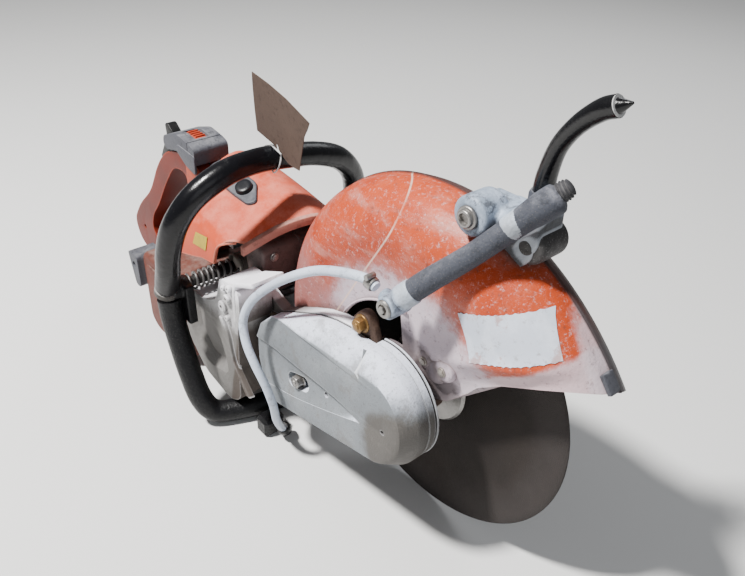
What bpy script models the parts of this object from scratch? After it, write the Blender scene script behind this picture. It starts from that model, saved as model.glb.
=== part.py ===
"""Hand-held petrol cut-off saw (abrasive chop saw) with a 350 mm wheel.

Metres, +Z up, +X towards the wheel, +Y to the operator's left. The saw is laid out
from the wheel's hub, and the empty "saw_frame" carries that layout to the floor, with
the origin under the middle of the whole machine.
"""

import math

import bmesh
import bpy
from mathutils import Matrix, Vector

# Driving dimensions
WHEEL_RADIUS = 0.175
WHEEL_THICKNESS = 0.004
HUB = (0.2104, 0.0114, 0.1755)  # wheel centre above the floor, in the finished frame
ARM_LENGTH = 0.280  # wheel axis to crank axis
ARM_TILT = math.radians(18.0)
GUARD_RADIUS = 0.216
GUARD_FLARE = 0.012  # how much further out the guard's front end reaches
GUARD_WALL = 0.0025
GUARD_FRONT_NEAR, GUARD_FRONT_FAR = 34.0, 27.0  # degrees above the forward direction
GUARD_REAR_ANGLE = 212.0
DRIVEN_PULLEY_RADIUS = 0.044
DRIVE_PULLEY_RADIUS = 0.0235
BELT_THICKNESS = 0.004
SPINDLE_RADIUS = 0.0098
HANDLE_TUBE_RADIUS = 0.0145
HOSE_RADIUS = 0.005
CYLINDER_LEAN = math.radians(16.0)
GAP = 0.0003  # between pieces that touch

CRANK = Vector((-ARM_LENGTH * math.cos(ARM_TILT), 0.0, -ARM_LENGTH * math.sin(ARM_TILT)))

# Sideways layout, measured from the wheel's middle plane
ARM_NEAR, ARM_FAR = -0.0662, -0.0580
BOSS_FAR = -0.0140
BELT_NEAR, BELT_FAR = -0.0830, -0.0690
COVER_NEAR, COVER_WALL = -0.0980, 0.0030
CASING_NEAR = -0.1120
CASE_NEAR, CASE_FAR = -0.0575, 0.0450
REAR_HANDLE_NEAR, REAR_HANDLE_FAR = -0.0470, -0.0030

GUARD_TUBE_LOW = Vector((0.0290, -0.0780, 0.1480))
GUARD_TUBE_HIGH = Vector((0.1180, -0.0100, 0.2590))
GUARD_TUBE_RADIUS = 0.0105
FITTING = Vector((0.0190, -0.0790, 0.1350))
BARB = Vector((-0.0240, -0.0005, 0.0050))  # the hose end's reach from the fitting's middle
BUTTON = Vector((-0.3030, -0.0300, 0.1035))  # compression release, on the shroud's slope
BUTTON_NORMAL = Vector((0.133, -0.460, 1.0)).normalized()
GRIP = Vector((-0.3280, 0.0900, -0.0300))  # starter grip
PULL = Vector((-0.50, 0.45, 0.74)).normalized()


# ---------------------------------------------------------------- shared helpers


def clear_scene():
    for obj in list(bpy.data.objects):
        bpy.data.objects.remove(obj, do_unlink=True)


def material(name, colour, roughness, metallic=0.0):
    made = bpy.data.materials.new(name)
    made.use_nodes = True
    shader = made.node_tree.nodes["Principled BSDF"]
    shader.inputs["Base Color"].default_value = (*colour, 1.0)
    shader.inputs["Roughness"].default_value = roughness
    shader.inputs["Metallic"].default_value = metallic
    return made


def empty(name, place, parent=None, turn=(0.0, 0.0, 0.0)):
    made = bpy.data.objects.new(name, None)
    made.location = place
    made.rotation_euler = turn
    made.parent = parent
    bpy.context.scene.collection.objects.link(made)
    return made


def put(name, bm, finish, parent, origin=(0.0, 0.0, 0.0), smooth=True):
    """Turns a bmesh into an object whose origin is at the given point of its parent's space."""
    bmesh.ops.recalc_face_normals(bm, faces=bm.faces)
    bmesh.ops.translate(bm, verts=bm.verts, vec=-Vector(origin))
    mesh = bpy.data.meshes.new(name)
    bm.to_mesh(mesh)
    bm.free()
    if smooth:
        mesh.shade_smooth()
        mesh.set_sharp_from_angle(angle=math.radians(35.0))
    made = bpy.data.objects.new(name, mesh)
    made.location = origin
    made.parent = parent
    if finish:
        mesh.materials.append(finish)
    bpy.context.scene.collection.objects.link(made)
    return made


def helper(name, bm, parent):
    """A cutter or an added shape: kept out of the model itself."""
    made = put(name, bm, None, parent, smooth=False)
    made.hide_render = True
    made.display_type = "WIRE"
    return made


def boolean(target, other, operation="DIFFERENCE"):
    step = target.modifiers.new(other.name, "BOOLEAN")
    step.operation = operation
    step.object = other
    step.solver = "EXACT"


def bevel(target, width, segments=1, angle=35.0):
    step = target.modifiers.new("edges", "BEVEL")
    step.width = width
    step.segments = segments
    step.limit_method = "ANGLE"
    step.angle_limit = math.radians(angle)


def arc(centre, radius, start, end, steps):
    """Points (x, z) along an arc, in degrees from +X towards +Z."""
    turn = [math.radians(start + (end - start) * i / steps) for i in range(steps + 1)]
    return [(centre[0] + radius * math.cos(t), centre[1] + radius * math.sin(t)) for t in turn]


def rounded(points, radius, steps=3):
    """A closed outline with each corner turned into an arc, as far as its sides allow."""
    out = []
    count = len(points)
    for i in range(count):
        here = Vector(points[i])
        back = Vector(points[i - 1]) - here
        ahead = Vector(points[(i + 1) % count]) - here
        reach = min(radius, 0.45 * back.length, 0.45 * ahead.length)
        a, b = here + back.normalized() * reach, here + ahead.normalized() * reach
        for k in range(steps + 1):
            t = k / steps
            out.append(tuple(a * (1 - t) ** 2 + here * 2 * t * (1 - t) + b * t * t))
    return out


def loft(rings):
    """A closed solid through rings of the same number of 3-D points, with flat ends."""
    bm = bmesh.new()
    rows = [[bm.verts.new(p) for p in ring] for ring in rings]
    count = len(rows[0])
    for low, high in zip(rows, rows[1:]):
        for i in range(count):
            j = (i + 1) % count
            bm.faces.new((low[i], low[j], high[j], high[i]))
    bm.faces.new(rows[0])
    bm.faces.new(rows[-1])
    return bm


def prism(outline, y_near, y_far):
    """An outline in X and Z, carried across from y_near to y_far."""
    return loft([[(x, y, z) for x, z in outline] for y in (y_near, y_far)])


def block(low, high):
    corners = [(low[0], low[2]), (high[0], low[2]), (high[0], high[2]), (low[0], high[2])]
    return prism(corners, low[1], high[1])


def turned(profile, steps, centre=(0.0, 0.0, 0.0), along="Y"):
    """A profile of (radius, height) turned about Y or Z. It closes on itself, or on the axis."""
    bm = bmesh.new()
    solid = profile[0][0] == 0 and profile[-1][0] == 0
    rows = []
    for radius, height in profile:
        ring = []
        for i in range(steps if radius else 1):
            t = 2 * math.pi * i / steps - math.pi / 2
            a, b = radius * math.cos(t), radius * math.sin(t)
            spot = (a, height, b) if along == "Y" else (a, b, height)
            ring.append(bm.verts.new(Vector(spot) + Vector(centre)))
        rows.append(ring)
    pairs = list(zip(rows, rows[1:])) if solid else list(zip(rows, rows[1:] + rows[:1]))
    for one, two in pairs:
        for i in range(steps):
            j = (i + 1) % steps
            corners = [one[i % len(one)], one[j % len(one)], two[j % len(two)], two[i % len(two)]]
            face = list(dict.fromkeys(corners))
            if len(face) > 2:
                bm.faces.new(face)
    return bm


def rod(radius, start, end, steps=24):
    """A plain round bar between two points."""
    start, end = Vector(start), Vector(end)
    bm = turned([(0, 0), (radius, 0), (radius, (end - start).length), (0, (end - start).length)],
                steps, along="Z")
    aim = Vector((0, 0, 1)).rotation_difference(end - start).to_matrix().to_4x4()
    bmesh.ops.transform(bm, matrix=Matrix.Translation(start) @ aim, verts=bm.verts)
    return bm


def ring(inner, outer, y_near, y_far):
    return [(inner, y_near), (outer, y_near), (outer, y_far), (inner, y_far)]


def disc(radius, y_near, y_far):
    return [(0, y_near), (radius, y_near), (radius, y_far), (0, y_far)]


def smooth_path(points, spans):
    """Catmull-Rom points through the given ones, spans to each stretch."""
    knots = [Vector(p) for p in points]
    knots = [2 * knots[0] - knots[1], *knots, 2 * knots[-1] - knots[-2]]
    out = []
    for a, b, c, d in zip(knots, knots[1:], knots[2:], knots[3:]):
        for i in range(spans):
            t = i / spans
            out.append(0.5 * (2 * b + (c - a) * t + (2 * a - 5 * b + 4 * c - d) * t * t
                              + (3 * b - a - 3 * c + d) * t ** 3))
    return [*out, knots[-2]]


def tube(name, points, radius, finish, parent, sides=3):
    """A round tube along the points, as a curve with closed ends."""
    data = bpy.data.curves.new(name, "CURVE")
    data.dimensions = "3D"
    data.bevel_depth = radius
    data.bevel_resolution = sides
    data.use_fill_caps = True
    spline = data.splines.new("POLY")
    spline.points.add(len(points) - 1)
    for point, place in zip(spline.points, points):
        point.co = (*place, 1.0)
    data.materials.append(finish)
    made = bpy.data.objects.new(name, data)
    made.parent = parent
    bpy.context.scene.collection.objects.link(made)
    return made


def belt_line(hub_radius, crank_radius, steps=12):
    """The outline of a band round the wheel axis and the crank axis."""
    axis = 180.0 + math.degrees(ARM_TILT)
    open_angle = math.degrees(math.acos((hub_radius - crank_radius) / ARM_LENGTH))
    crank = (CRANK.x, CRANK.z)
    front = arc((0, 0), hub_radius, axis + open_angle, axis + 360 - open_angle, 2 * steps)
    rear = arc(crank, crank_radius, axis - open_angle, axis + open_angle, steps)
    return front + rear


# ---------------------------------------------------------------- engine


def crankcase(parent, finish):
    up = Vector((-math.sin(CYLINDER_LEAN), math.cos(CYLINDER_LEAN)))
    side = Vector((up.y, -up.x))
    middle = Vector((CRANK.x, CRANK.z))
    deck = [middle + up * 0.052 + side * 0.040, middle + up * 0.052 - side * 0.040]
    outline = [tuple(p) for p in (*deck, middle - side * 0.046)]
    outline += arc(tuple(middle), 0.050, 192, 352, 14)
    outline.append(tuple(middle + side * 0.046))
    case = put("crankcase", prism(outline, CASE_NEAR, CASE_FAR), finish, parent)
    bore = turned(disc(0.0123, CASE_NEAR - 0.01, CASE_FAR + 0.01), 24, CRANK)
    boolean(case, helper("cut_crank_bore", bore, parent))
    chamber = turned(disc(0.036, -0.018, 0.018), 28, CRANK)
    boolean(case, helper("cut_crank_chamber", chamber, parent))
    top = CRANK + Vector((up.x, 0, up.y)) * 0.07
    boolean(case, helper("cut_cylinder_mouth", rod(0.0245, CRANK, top), parent))


def cylinder_group(parent, metal, dark):
    """The leaning barrel with its piston and plug, laid out along its own axis."""
    axis = empty("cylinder_axis", CRANK, parent, (0.0, -CYLINDER_LEAN, 0.0))
    deck, head, bore = 0.052 + GAP, 0.145, 0.0245
    fins, root = 6, 0.029
    pitch = (head - deck - 0.012) / fins
    profile = [(bore, deck), (0.037, deck), (0.037, deck + 0.006)]
    for i in range(fins):
        base = deck + 0.008 + pitch * i
        profile += [(root, base), (root, base + 0.55 * pitch), (0.037, base + 0.6 * pitch)]
        profile += [(0.037, base + 0.95 * pitch)]
    profile += [(0.026, head), (0, head), (0, head - 0.008), (bore, head - 0.012)]
    put("cylinder", turned_closed(profile, 18), metal, axis)
    cup = [(0, 0.100), (0.0241, 0.100), (0.0241, 0.070), (0.020, 0.070), (0.020, 0.095), (0, 0.095)]
    put("piston", turned(cup, 24, along="Z"), metal, axis)
    plug = [(0, head + GAP), (0.010, head + GAP), (0.010, 0.152), (0.006, 0.153),
            (0.006, 0.158), (0.009, 0.159), (0.009, 0.174), (0.006, 0.177), (0, 0.177)]
    put("spark_plug", turned(plug, 12, along="Z"), dark, axis)


def turned_closed(profile, steps):
    """A cup turned about Z: the profile meets the axis at two neighbouring points."""
    on_axis = [i for i, (radius, _) in enumerate(profile) if radius == 0]
    first = on_axis[-1]
    order = profile[first:] + profile[:on_axis[0] + 1]
    return turned(order, steps, along="Z")


def engine_extras(parent, finishes):
    """Muffler, carburettor, filter and coil: the pieces bolted round the engine."""
    outline = rounded([(-0.2500, 0.000), (-0.2215, 0.000), (-0.2215, 0.066), (-0.2690, 0.072)],
                      0.010)
    muffler = put("muffler", prism(outline, -0.062, 0.045), finishes["muffler"], parent)
    bevel(muffler, 0.006)
    carb = put("carburettor", block((-0.380, -0.030, 0.000), (-0.345, 0.018, 0.034)),
               finishes["metal"], parent)
    boolean(carb, helper("cut_intake", rod(0.009, (-0.40, -0.006, 0.017), (-0.33, -0.006, 0.017)),
                         parent))
    element = put("air_filter", block((-0.3805, -0.050, 0.0365), (-0.352, 0.040, 0.082)),
                  finishes["filter"], parent)
    bevel(element, 0.006)
    coil = put("ignition_coil", block((-0.300, 0.0455, -0.0255), (-0.262, 0.064, 0.000)),
               finishes["black"], parent)
    bevel(coil, 0.003, 1)


def crank_body(parent, finishes):
    axis = empty("crank_axis", CRANK, parent)
    shaft = [(0, -0.088), (0.0060, -0.088), (0.0060, -0.0575), (0.0120, -0.0575),
             (0.0120, -0.0165), (0.0340, -0.0165), (0.0340, 0.0165), (0.0120, 0.0165),
             (0.0120, 0.0450), (0.0060, 0.0450), (0.0060, 0.0660), (0, 0.0660)]
    put("crankshaft", turned(shaft, 18), finishes["steel"], axis)
    drum = [(0.0063, -0.084), (DRIVE_PULLEY_RADIUS, -0.084), (DRIVE_PULLEY_RADIUS, -0.068),
            (0.0285, -0.0675), (0.0285, -0.0590), (0.0063, -0.0590)]
    put("clutch_drum", turned(drum, 20), finishes["steel"], axis)
    wheel = [(0.0063, 0.0475), (0.030, 0.0475), (0.048, 0.052), (0.048, 0.064),
             (0.040, 0.064), (0.038, 0.057), (0.014, 0.057), (0.014, 0.064), (0.0063, 0.064)]
    put("flywheel", turned(wheel, 20), finishes["metal"], axis)


# ---------------------------------------------------------------- wheel drive


def wheel_body(parent, finishes):
    axis = empty("wheel_axis", (0, 0, 0), parent)
    half = WHEEL_THICKNESS / 2
    bore = SPINDLE_RADIUS + GAP
    face = half + GAP
    put("cutting_wheel", turned(ring(0.0131, WHEEL_RADIUS, -half, half), 48), finishes["abrasive"],
        axis)
    inner = [(bore, -0.0125), (0.016, -0.0125), (0.018, -0.0085), (0.051, -0.0065), (0.052, -face),
             (bore, -face)]
    put("inner_flange", turned(inner, 24), finishes["steel"], axis)
    outer = [(bore, face), (0.052, face), (0.051, 0.0065), (0.030, 0.0090), (bore, 0.0090)]
    put("outer_flange", turned(outer, 24), finishes["steel"], axis)
    put("spindle", turned(disc(SPINDLE_RADIUS, -0.087, 0.0088), 24), finishes["steel"], axis)
    put("driven_pulley", turned(ring(bore, DRIVEN_PULLEY_RADIUS, -0.084, -0.068), 24),
        finishes["metal"], axis)
    head = [(0, 0.0091 + GAP), (0.016, 0.0091 + GAP), (0.016, 0.0112), (0.0108, 0.0112),
            (0.0108, 0.0190), (0, 0.0190)]
    put("wheel_bolt", turned(head, 6), finishes["steel"], axis)


def drive_belt(parent, rubber):
    inside = belt_line(DRIVEN_PULLEY_RADIUS + GAP, DRIVE_PULLEY_RADIUS + GAP)
    outside = belt_line(DRIVEN_PULLEY_RADIUS + BELT_THICKNESS, DRIVE_PULLEY_RADIUS + BELT_THICKNESS)
    rows = [[(x, y, z) for x, z in line] for line, y in
            ((inside, BELT_NEAR), (outside, BELT_NEAR), (outside, BELT_FAR), (inside, BELT_FAR))]
    bm = bmesh.new()
    verts = [[bm.verts.new(p) for p in row] for row in rows]
    count = len(inside)
    for one, two in zip(verts, verts[1:] + verts[:1]):
        for i in range(count):
            j = (i + 1) % count
            bm.faces.new((one[i], one[j], two[j], two[i]))
    put("drive_belt", bm, rubber, parent)


def cast_arm(parent, finish):
    arm = put("cast_arm", prism(belt_line(0.056, 0.058), ARM_NEAR, ARM_FAR), finish, parent)
    boss = turned(disc(0.033, ARM_NEAR + 0.001, BOSS_FAR), 36)
    boolean(arm, helper("add_bearing_boss", boss, parent), "UNION")
    bore = turned(disc(0.0203, ARM_NEAR - 0.01, BOSS_FAR + 0.01), 28)
    boolean(arm, helper("cut_bearing_bore", bore, parent))
    hole = turned(disc(0.030, ARM_NEAR - 0.01, ARM_FAR + 0.01), 28, CRANK)
    boolean(arm, helper("cut_clutch_hole", hole, parent))


def bearings(parent, steel):
    for name, near, far in (("bearing_near", -0.0570, -0.0430), ("bearing_far", -0.0300, -0.0160)):
        put(name, turned(ring(SPINDLE_RADIUS + GAP, 0.0200, near, far), 20), steel, parent)


def drive_cavity(parent):
    """The room for pulleys and belt, cut out of both covers."""
    levels = ((belt_line(0.043, 0.040), COVER_NEAR + COVER_WALL),
              (belt_line(0.0525, 0.046), -0.086), (belt_line(0.0525, 0.046), -0.05))
    return helper("cut_drive_room", loft([[(x, y, z) for x, z in line] for line, y in levels]),
                  parent)


def belt_cover(parent, finish, steel, cavity):
    """Round at the wheel end, chamfered all round its near face, with a sunk channel."""
    back = ARM_NEAR - GAP
    along = Vector((-math.cos(ARM_TILT), -math.sin(ARM_TILT)))
    across = Vector((math.sin(ARM_TILT), -math.cos(ARM_TILT)))
    rear = 0.186
    steps = 14

    def outline(front_radius, upper, rear_half, rear_reach):
        turn = math.degrees(ARM_TILT)
        nose = arc((0, 0), front_radius, turn - 90, turn + 90, steps)
        tail = [along * rear_reach - across * rear_half * 0.9, along * (rear_reach + 0.006),
                along * rear_reach + across * rear_half]
        return nose + list(upper) + [tuple(p) for p in tail]

    edge = ((-0.060, 0.0575), (-0.104, 0.0460), (-0.150, 0.0230))
    ridge = ((-0.040, 0.0415), (-0.100, 0.0330), (-0.152, 0.0160))
    levels = ((outline(0.0640, edge, 0.0600, rear), back),
              (outline(0.0635, edge, 0.0595, rear), -0.082),
              (outline(0.0490, ridge, 0.0440, rear - 0.004), COVER_NEAR))
    body = loft([[(x, y, z) for x, z in line] for line, y in levels])
    cover = put("belt_cover", body, finish, parent)
    boolean(cover, cavity)
    slot_middle = along * 0.120
    ends = [slot_middle - along * 0.010, slot_middle + along * 0.010]
    turn = math.degrees(math.atan2(along.y, along.x))
    slot = arc(tuple(ends[1]), 0.0075, turn - 90, turn + 90, 6)
    slot += arc(tuple(ends[0]), 0.0075, turn + 90, turn + 270, 6)
    boolean(cover, helper("cut_adjuster_slot", prism(slot, COVER_NEAR - 0.01, -0.085), parent))
    nut = slot_middle - along * 0.003
    head = turned(disc(0.0072, COVER_NEAR - 0.006, -0.088), 6, (nut.x, 0, nut.y))
    put("adjuster_nut", head, steel, parent)


def clutch_casing(parent, finish, cavity):
    """The pale side casing behind the belt cover, dished between the leg and the cover."""
    outline = rounded([(-0.199, -0.004), (-0.199, 0.044), (-0.240, 0.044), (-0.254, 0.006),
                       (-0.285, -0.013), (-0.342, -0.013), (-0.346, -0.060), (-0.330, -0.118),
                       (-0.290, -0.144), (-0.232, -0.148), (-0.212, -0.128), (-0.206, -0.010)],
                      0.012)
    casing = put("clutch_casing", prism(outline, CASING_NEAR, ARM_NEAR - GAP), finish, parent)
    boolean(casing, cavity)
    bevel(casing, 0.004)


# ---------------------------------------------------------------- housings


def shroud_section(x, ridge, low, inset=0.0):
    """One cross-section of the engine shroud: a ridge with a shallow near slope."""
    near, far = -0.090 + inset, 0.070 - inset
    top = ridge - inset
    return [(x, near, low), (x, near, top - 0.052), (x, near + 0.014, top - 0.034),
            (x, -0.040, top - 0.016), (x, -0.004, top), (x, 0.018, top - 0.003),
            (x, 0.052, top - 0.030), (x, far, top - 0.062), (x, far, low)]


def engine_shroud(parent, finish):
    outer = [(-0.204, 0.100, 0.030), (-0.250, 0.108, 0.030), (-0.310, 0.116, 0.030),
             (-0.370, 0.121, 0.030), (-0.385, 0.112, 0.030)]
    shell = put("engine_shroud", loft([shroud_section(*row) for row in outer]), finish, parent)
    wall = 0.003
    inner = [(-0.190, 0.098, -0.02), (-0.250, 0.108, -0.02), (-0.310, 0.116, -0.02),
             (-0.370, 0.121, -0.02), (-0.3815, 0.113, -0.02)]
    cutter = loft([shroud_section(*row, inset=wall) for row in inner])
    boolean(shell, helper("cut_shroud_inside", cutter, parent))
    notch = [(-0.190, 0.020), (-0.190, 0.074), (-0.246, 0.074), (-0.262, 0.066), (-0.272, 0.046),
             (-0.276, 0.020)]
    boolean(shell, helper("cut_shroud_notch", prism(notch, -0.11, 0.09), parent))
    low, high = button_axis(-0.03), button_axis(0.03)
    boolean(shell, helper("cut_button_hole", rod(0.0115, low, high), parent))


def button_axis(height):
    """A point on the release button's axis, this far above the shroud's surface."""
    return BUTTON + BUTTON_NORMAL * height


def compression_release(parent, grey, black):
    """A drop-shaped rim round the button, both square to the shroud's slope."""
    turn = Vector((0, 0, 1)).rotation_difference(BUTTON_NORMAL).to_euler()
    axis = empty("button_axis", button_axis(0.0), parent, turn)
    rim = arc((0, 0), 0.0200, -115, 115, 14) + [(-0.045, 0.002), (-0.045, -0.002)]
    base = 0.0024
    outer = loft([[(x, y, base) for x, y in rim],
                  [(x * 0.93, y * 0.93, base + 0.004) for x, y in rim]])
    bezel = put("shroud_bezel", outer, grey, axis)
    boolean(bezel, helper("cut_bezel_hole", rod(0.0115, (0, 0, -0.02), (0, 0, 0.02)), axis))
    cap = [(0, -0.008), (0.0110, -0.008), (0.0110, 0.0080), (0.0095, 0.0095), (0, 0.0095)]
    put("compression_button", turned(cap, 24, along="Z"), black, axis)


def fuel_tank(parent, finish, black):
    outline = rounded([(-0.352, -0.158), (-0.352, -0.035), (-0.475, -0.035), (-0.475, -0.150),
                       (-0.455, -0.165), (-0.380, -0.165)], 0.012)
    tank = put("fuel_tank", prism(outline, -0.105, 0.090), finish, parent)
    bevel(tank, 0.006)
    floor = -HUB[2]
    for name, y in (("foot_right", -0.080), ("foot_left", 0.065)):
        low, high = (-0.445, y - 0.012, floor), (-0.400, y + 0.012, -0.165 - GAP)
        bevel(put(name, block(low, high), black, parent), 0.003, 1)
    cap = [(0, 0.090 + GAP), (0.021, 0.090 + GAP), (0.022, 0.094), (0.022, 0.102), (0.019, 0.105),
           (0, 0.105)]
    place = empty("cap_axis", (-0.405, 0, -0.100), parent)
    put("fuel_cap", turned(cap, 24), black, place)


def rear_handle(parent, finishes):
    outer = [(-0.3885, 0.104), (-0.430, 0.112), (-0.474, 0.101), (-0.508, 0.068), (-0.545, 0.012),
             (-0.592, -0.028), (-0.6215, -0.066), (-0.610, -0.098), (-0.565, -0.114),
             (-0.4755, -0.120), (-0.4755, -0.0345), (-0.3885, -0.0345)]
    handle = put("rear_handle", prism(rounded(outer, 0.012), REAR_HANDLE_NEAR, REAR_HANDLE_FAR),
                 finishes["handle"], parent)
    hole = [(-0.420, 0.086), (-0.456, 0.084), (-0.490, 0.045), (-0.520, 0.002), (-0.549, -0.030),
            (-0.558, -0.056), (-0.540, -0.074), (-0.500, -0.068), (-0.470, -0.020), (-0.422, -0.008)]
    opening = helper("cut_hand_opening", prism(rounded(hole, 0.014), -0.07, 0.02), parent)
    boolean(handle, opening)
    bevel(handle, 0.005, 1, 50.0)
    top = [(-0.3885, 0.106), (-0.430, 0.1145), (-0.468, 0.1050), (-0.472, 0.124), (-0.430, 0.138),
           (-0.400, 0.134), (-0.3885, 0.130)]
    cover = put("handle_cover", prism(top, -0.050, 0.000), finishes["grey"], parent)
    pocket = block((-0.447, -0.034, 0.128), (-0.411, -0.016, 0.150))
    boolean(cover, helper("cut_slider_pocket", pocket, parent))
    bevel(cover, 0.004, 1, 50.0)
    low, high = (-0.4385, -0.0330, 0.1285), (-0.4115, -0.0170, 0.1370)
    place = (-0.4250, -0.0250, 0.1330)
    slider = put("stop_slider", block(low, high), finishes["switch"], parent, place)
    bevel(slider, 0.0015, 1)


def controls(parent, black):
    """Throttle trigger, lockout and choke lever, each hung from its own pivot."""
    pivot = (-0.4300, 0, 0.0780)
    outline = rounded([(-0.4235, 0.0835), (-0.440, 0.0835), (-0.452, 0.060), (-0.450, 0.034),
                       (-0.443, 0.034), (-0.441, 0.056), (-0.432, 0.070)], 0.004)
    put("throttle_trigger", prism(outline, -0.033, -0.017), black, parent, pivot)
    pivot = (-0.4785, 0, 0.1050)
    outline = rounded([(-0.4755, 0.1085), (-0.4800, 0.1200), (-0.4930, 0.1300), (-0.5010, 0.1270),
                       (-0.4990, 0.1120), (-0.5250, 0.0720), (-0.5215, 0.0680), (-0.4990, 0.0880)],
                      0.004)
    put("throttle_lockout", prism(outline, -0.032, -0.018), black, parent, pivot)
    pivot = (-0.4040, 0, 0.0300)
    outline = arc((pivot[0], pivot[2]), 0.008, -150, 30, 8)
    outline += [(-0.4090, 0.0640), (-0.4170, 0.0620)]
    put("choke_lever", prism(outline, REAR_HANDLE_FAR + GAP, 0.004), black, parent, pivot)


def starter(parent, finishes):
    """The left-hand recoil housing round the flywheel, with its drum, rope and grip."""
    cup = [(0.0, 0.1000), (0.045, 0.1000), (0.062, 0.0930), (0.062, 0.0460), (0.0590, 0.0460),
           (0.0590, 0.0915), (0.0440, 0.0970), (0.0, 0.0970)]
    cover = put("starter_cover", turned(cup, 28, CRANK), finishes["black"], parent)
    boolean(cover, helper("cut_coil_notch", block((-0.304, 0.030, -0.040), (-0.258, 0.066, 0.01)),
                          parent))
    axis = empty("drum_axis", CRANK, parent)
    reel = [(0.0, 0.0950), (0.034, 0.0950), (0.034, 0.0920), (0.028, 0.0920), (0.028, 0.0770),
            (0.034, 0.0770), (0.034, 0.0740), (0.0, 0.0740)]
    put("starter_drum", turned(reel, 18), finishes["black"], axis)
    start = GRIP - PULL * 0.014
    exit_spot = start + PULL * 0.010
    place = empty("grip_axis", exit_spot, parent)
    put("starter_rope", rod(0.0018, (0, 0, 0), PULL * (0.010 - GAP), 8), finishes["rope"], place)
    side = PULL.cross(Vector((1, 0, 0))).normalized()
    bar = [PULL * 0.021 + side * reach for reach in (-0.026, 0.026)]
    grip = put("starter_grip", rod(0.0085, *bar, 14), finishes["black"], place)
    neck = helper("add_grip_neck", rod(0.0060, PULL * 0.010, PULL * 0.018, 12), place)
    boolean(grip, neck, "UNION")


# ---------------------------------------------------------------- front handle


def front_handle(parent, gloss, dusty, steel):
    """The bent tube round the engine: the upper grip, and the lower half under the machine."""
    near, far, base = -0.147, 0.127, HANDLE_TUBE_RADIUS - HUB[2]
    seam_x, seam = -0.302, 0.004
    upper = [(seam_x, near, 0.012), (-0.289, near - 0.002, 0.040), (-0.277, near - 0.003, 0.074),
             (-0.264, near + 0.004, 0.112), (-0.255, near + 0.025, 0.142), (-0.249, -0.085, 0.162),
             (-0.248, -0.045, 0.166), (-0.249, -0.004, 0.161), (-0.252, 0.038, 0.152),
             (-0.258, far - 0.049, 0.134), (-0.268, far - 0.019, 0.103), (-0.281, far - 0.003, 0.066),
             (-0.292, far, 0.036), (seam_x, far, 0.012)]
    upper = [(seam_x, near, seam), *smooth_path(upper, 2), (seam_x, far, seam)]
    tube("front_handle", upper, HANDLE_TUBE_RADIUS, gloss, parent, sides=2)
    lower = [(seam_x, near, -0.006), (-0.299, near, -0.032), (-0.288, near, -0.064),
             (-0.271, near, -0.102), (-0.256, near + 0.003, -0.136), (-0.246, near + 0.014, -0.157),
             (-0.235, near + 0.036, base), (-0.222, near + 0.070, base), (-0.216, -0.036, base),
             (-0.216, 0.016, base), (-0.222, far - 0.070, base), (-0.235, far - 0.036, base),
             (-0.246, far - 0.014, -0.157), (-0.256, far - 0.003, -0.136), (-0.271, far, -0.102),
             (-0.288, far, -0.064), (-0.299, far, -0.032), (seam_x, far, -0.006)]
    lower = [(p.x, p.y, max(p.z, base)) for p in smooth_path(lower, 2)]
    lower = [(seam_x, near, seam - 2 * GAP), *lower, (seam_x, far, seam - 2 * GAP)]
    tube("handle_frame", lower, HANDLE_TUBE_RADIUS, dusty, parent, sides=2)
    spring_mount(parent, steel, near)


def spring_mount(parent, steel, near):
    """The coil spring that carries the handle on the engine, with a cup at its engine end."""
    x, z = -0.3020, 0.0060
    start, end = near + HANDLE_TUBE_RADIUS + 0.0005, -0.054
    turns, wire, radius, per_turn = 8, 0.0016, 0.0092, 7
    count = turns * per_turn
    points = []
    for i in range(count + 1):
        t = 2 * math.pi * i / per_turn
        y = start + wire + (end - start - 2 * wire) * i / count
        points.append((x + radius * math.cos(t), y, z + radius * math.sin(t)))
    tube("isolation_spring", points, wire, steel, parent, sides=1)
    cup = [(0, end + GAP), (0.0125, end + GAP), (0.0135, end + 0.004), (0.0135, -0.0380),
           (0, -0.0380)]
    put("spring_cup", turned(cup, 24, (x, 0, z)), steel, parent)


def rear_bracket(parent, finish):
    outline = rounded([(-0.505, -0.046), (-0.4765, -0.046), (-0.4765, -0.098), (-0.492, -0.100)],
                      0.006)
    ear = put("rear_bracket", prism(outline, -0.112, -0.074), finish, parent)
    hole = rod(0.005, (-0.489, -0.13, -0.064), (-0.489, -0.05, -0.064), 16)
    boolean(ear, helper("cut_bracket_hole", hole, parent))
    bevel(ear, 0.003, 1)


# ---------------------------------------------------------------- guard


def guard_reach(degrees):
    """How far beyond the rear's radius the guard stands at this angle."""
    return GUARD_FLARE * max(0.0, (80.0 - degrees) / (80.0 - GUARD_FRONT_FAR)) ** 3


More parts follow.
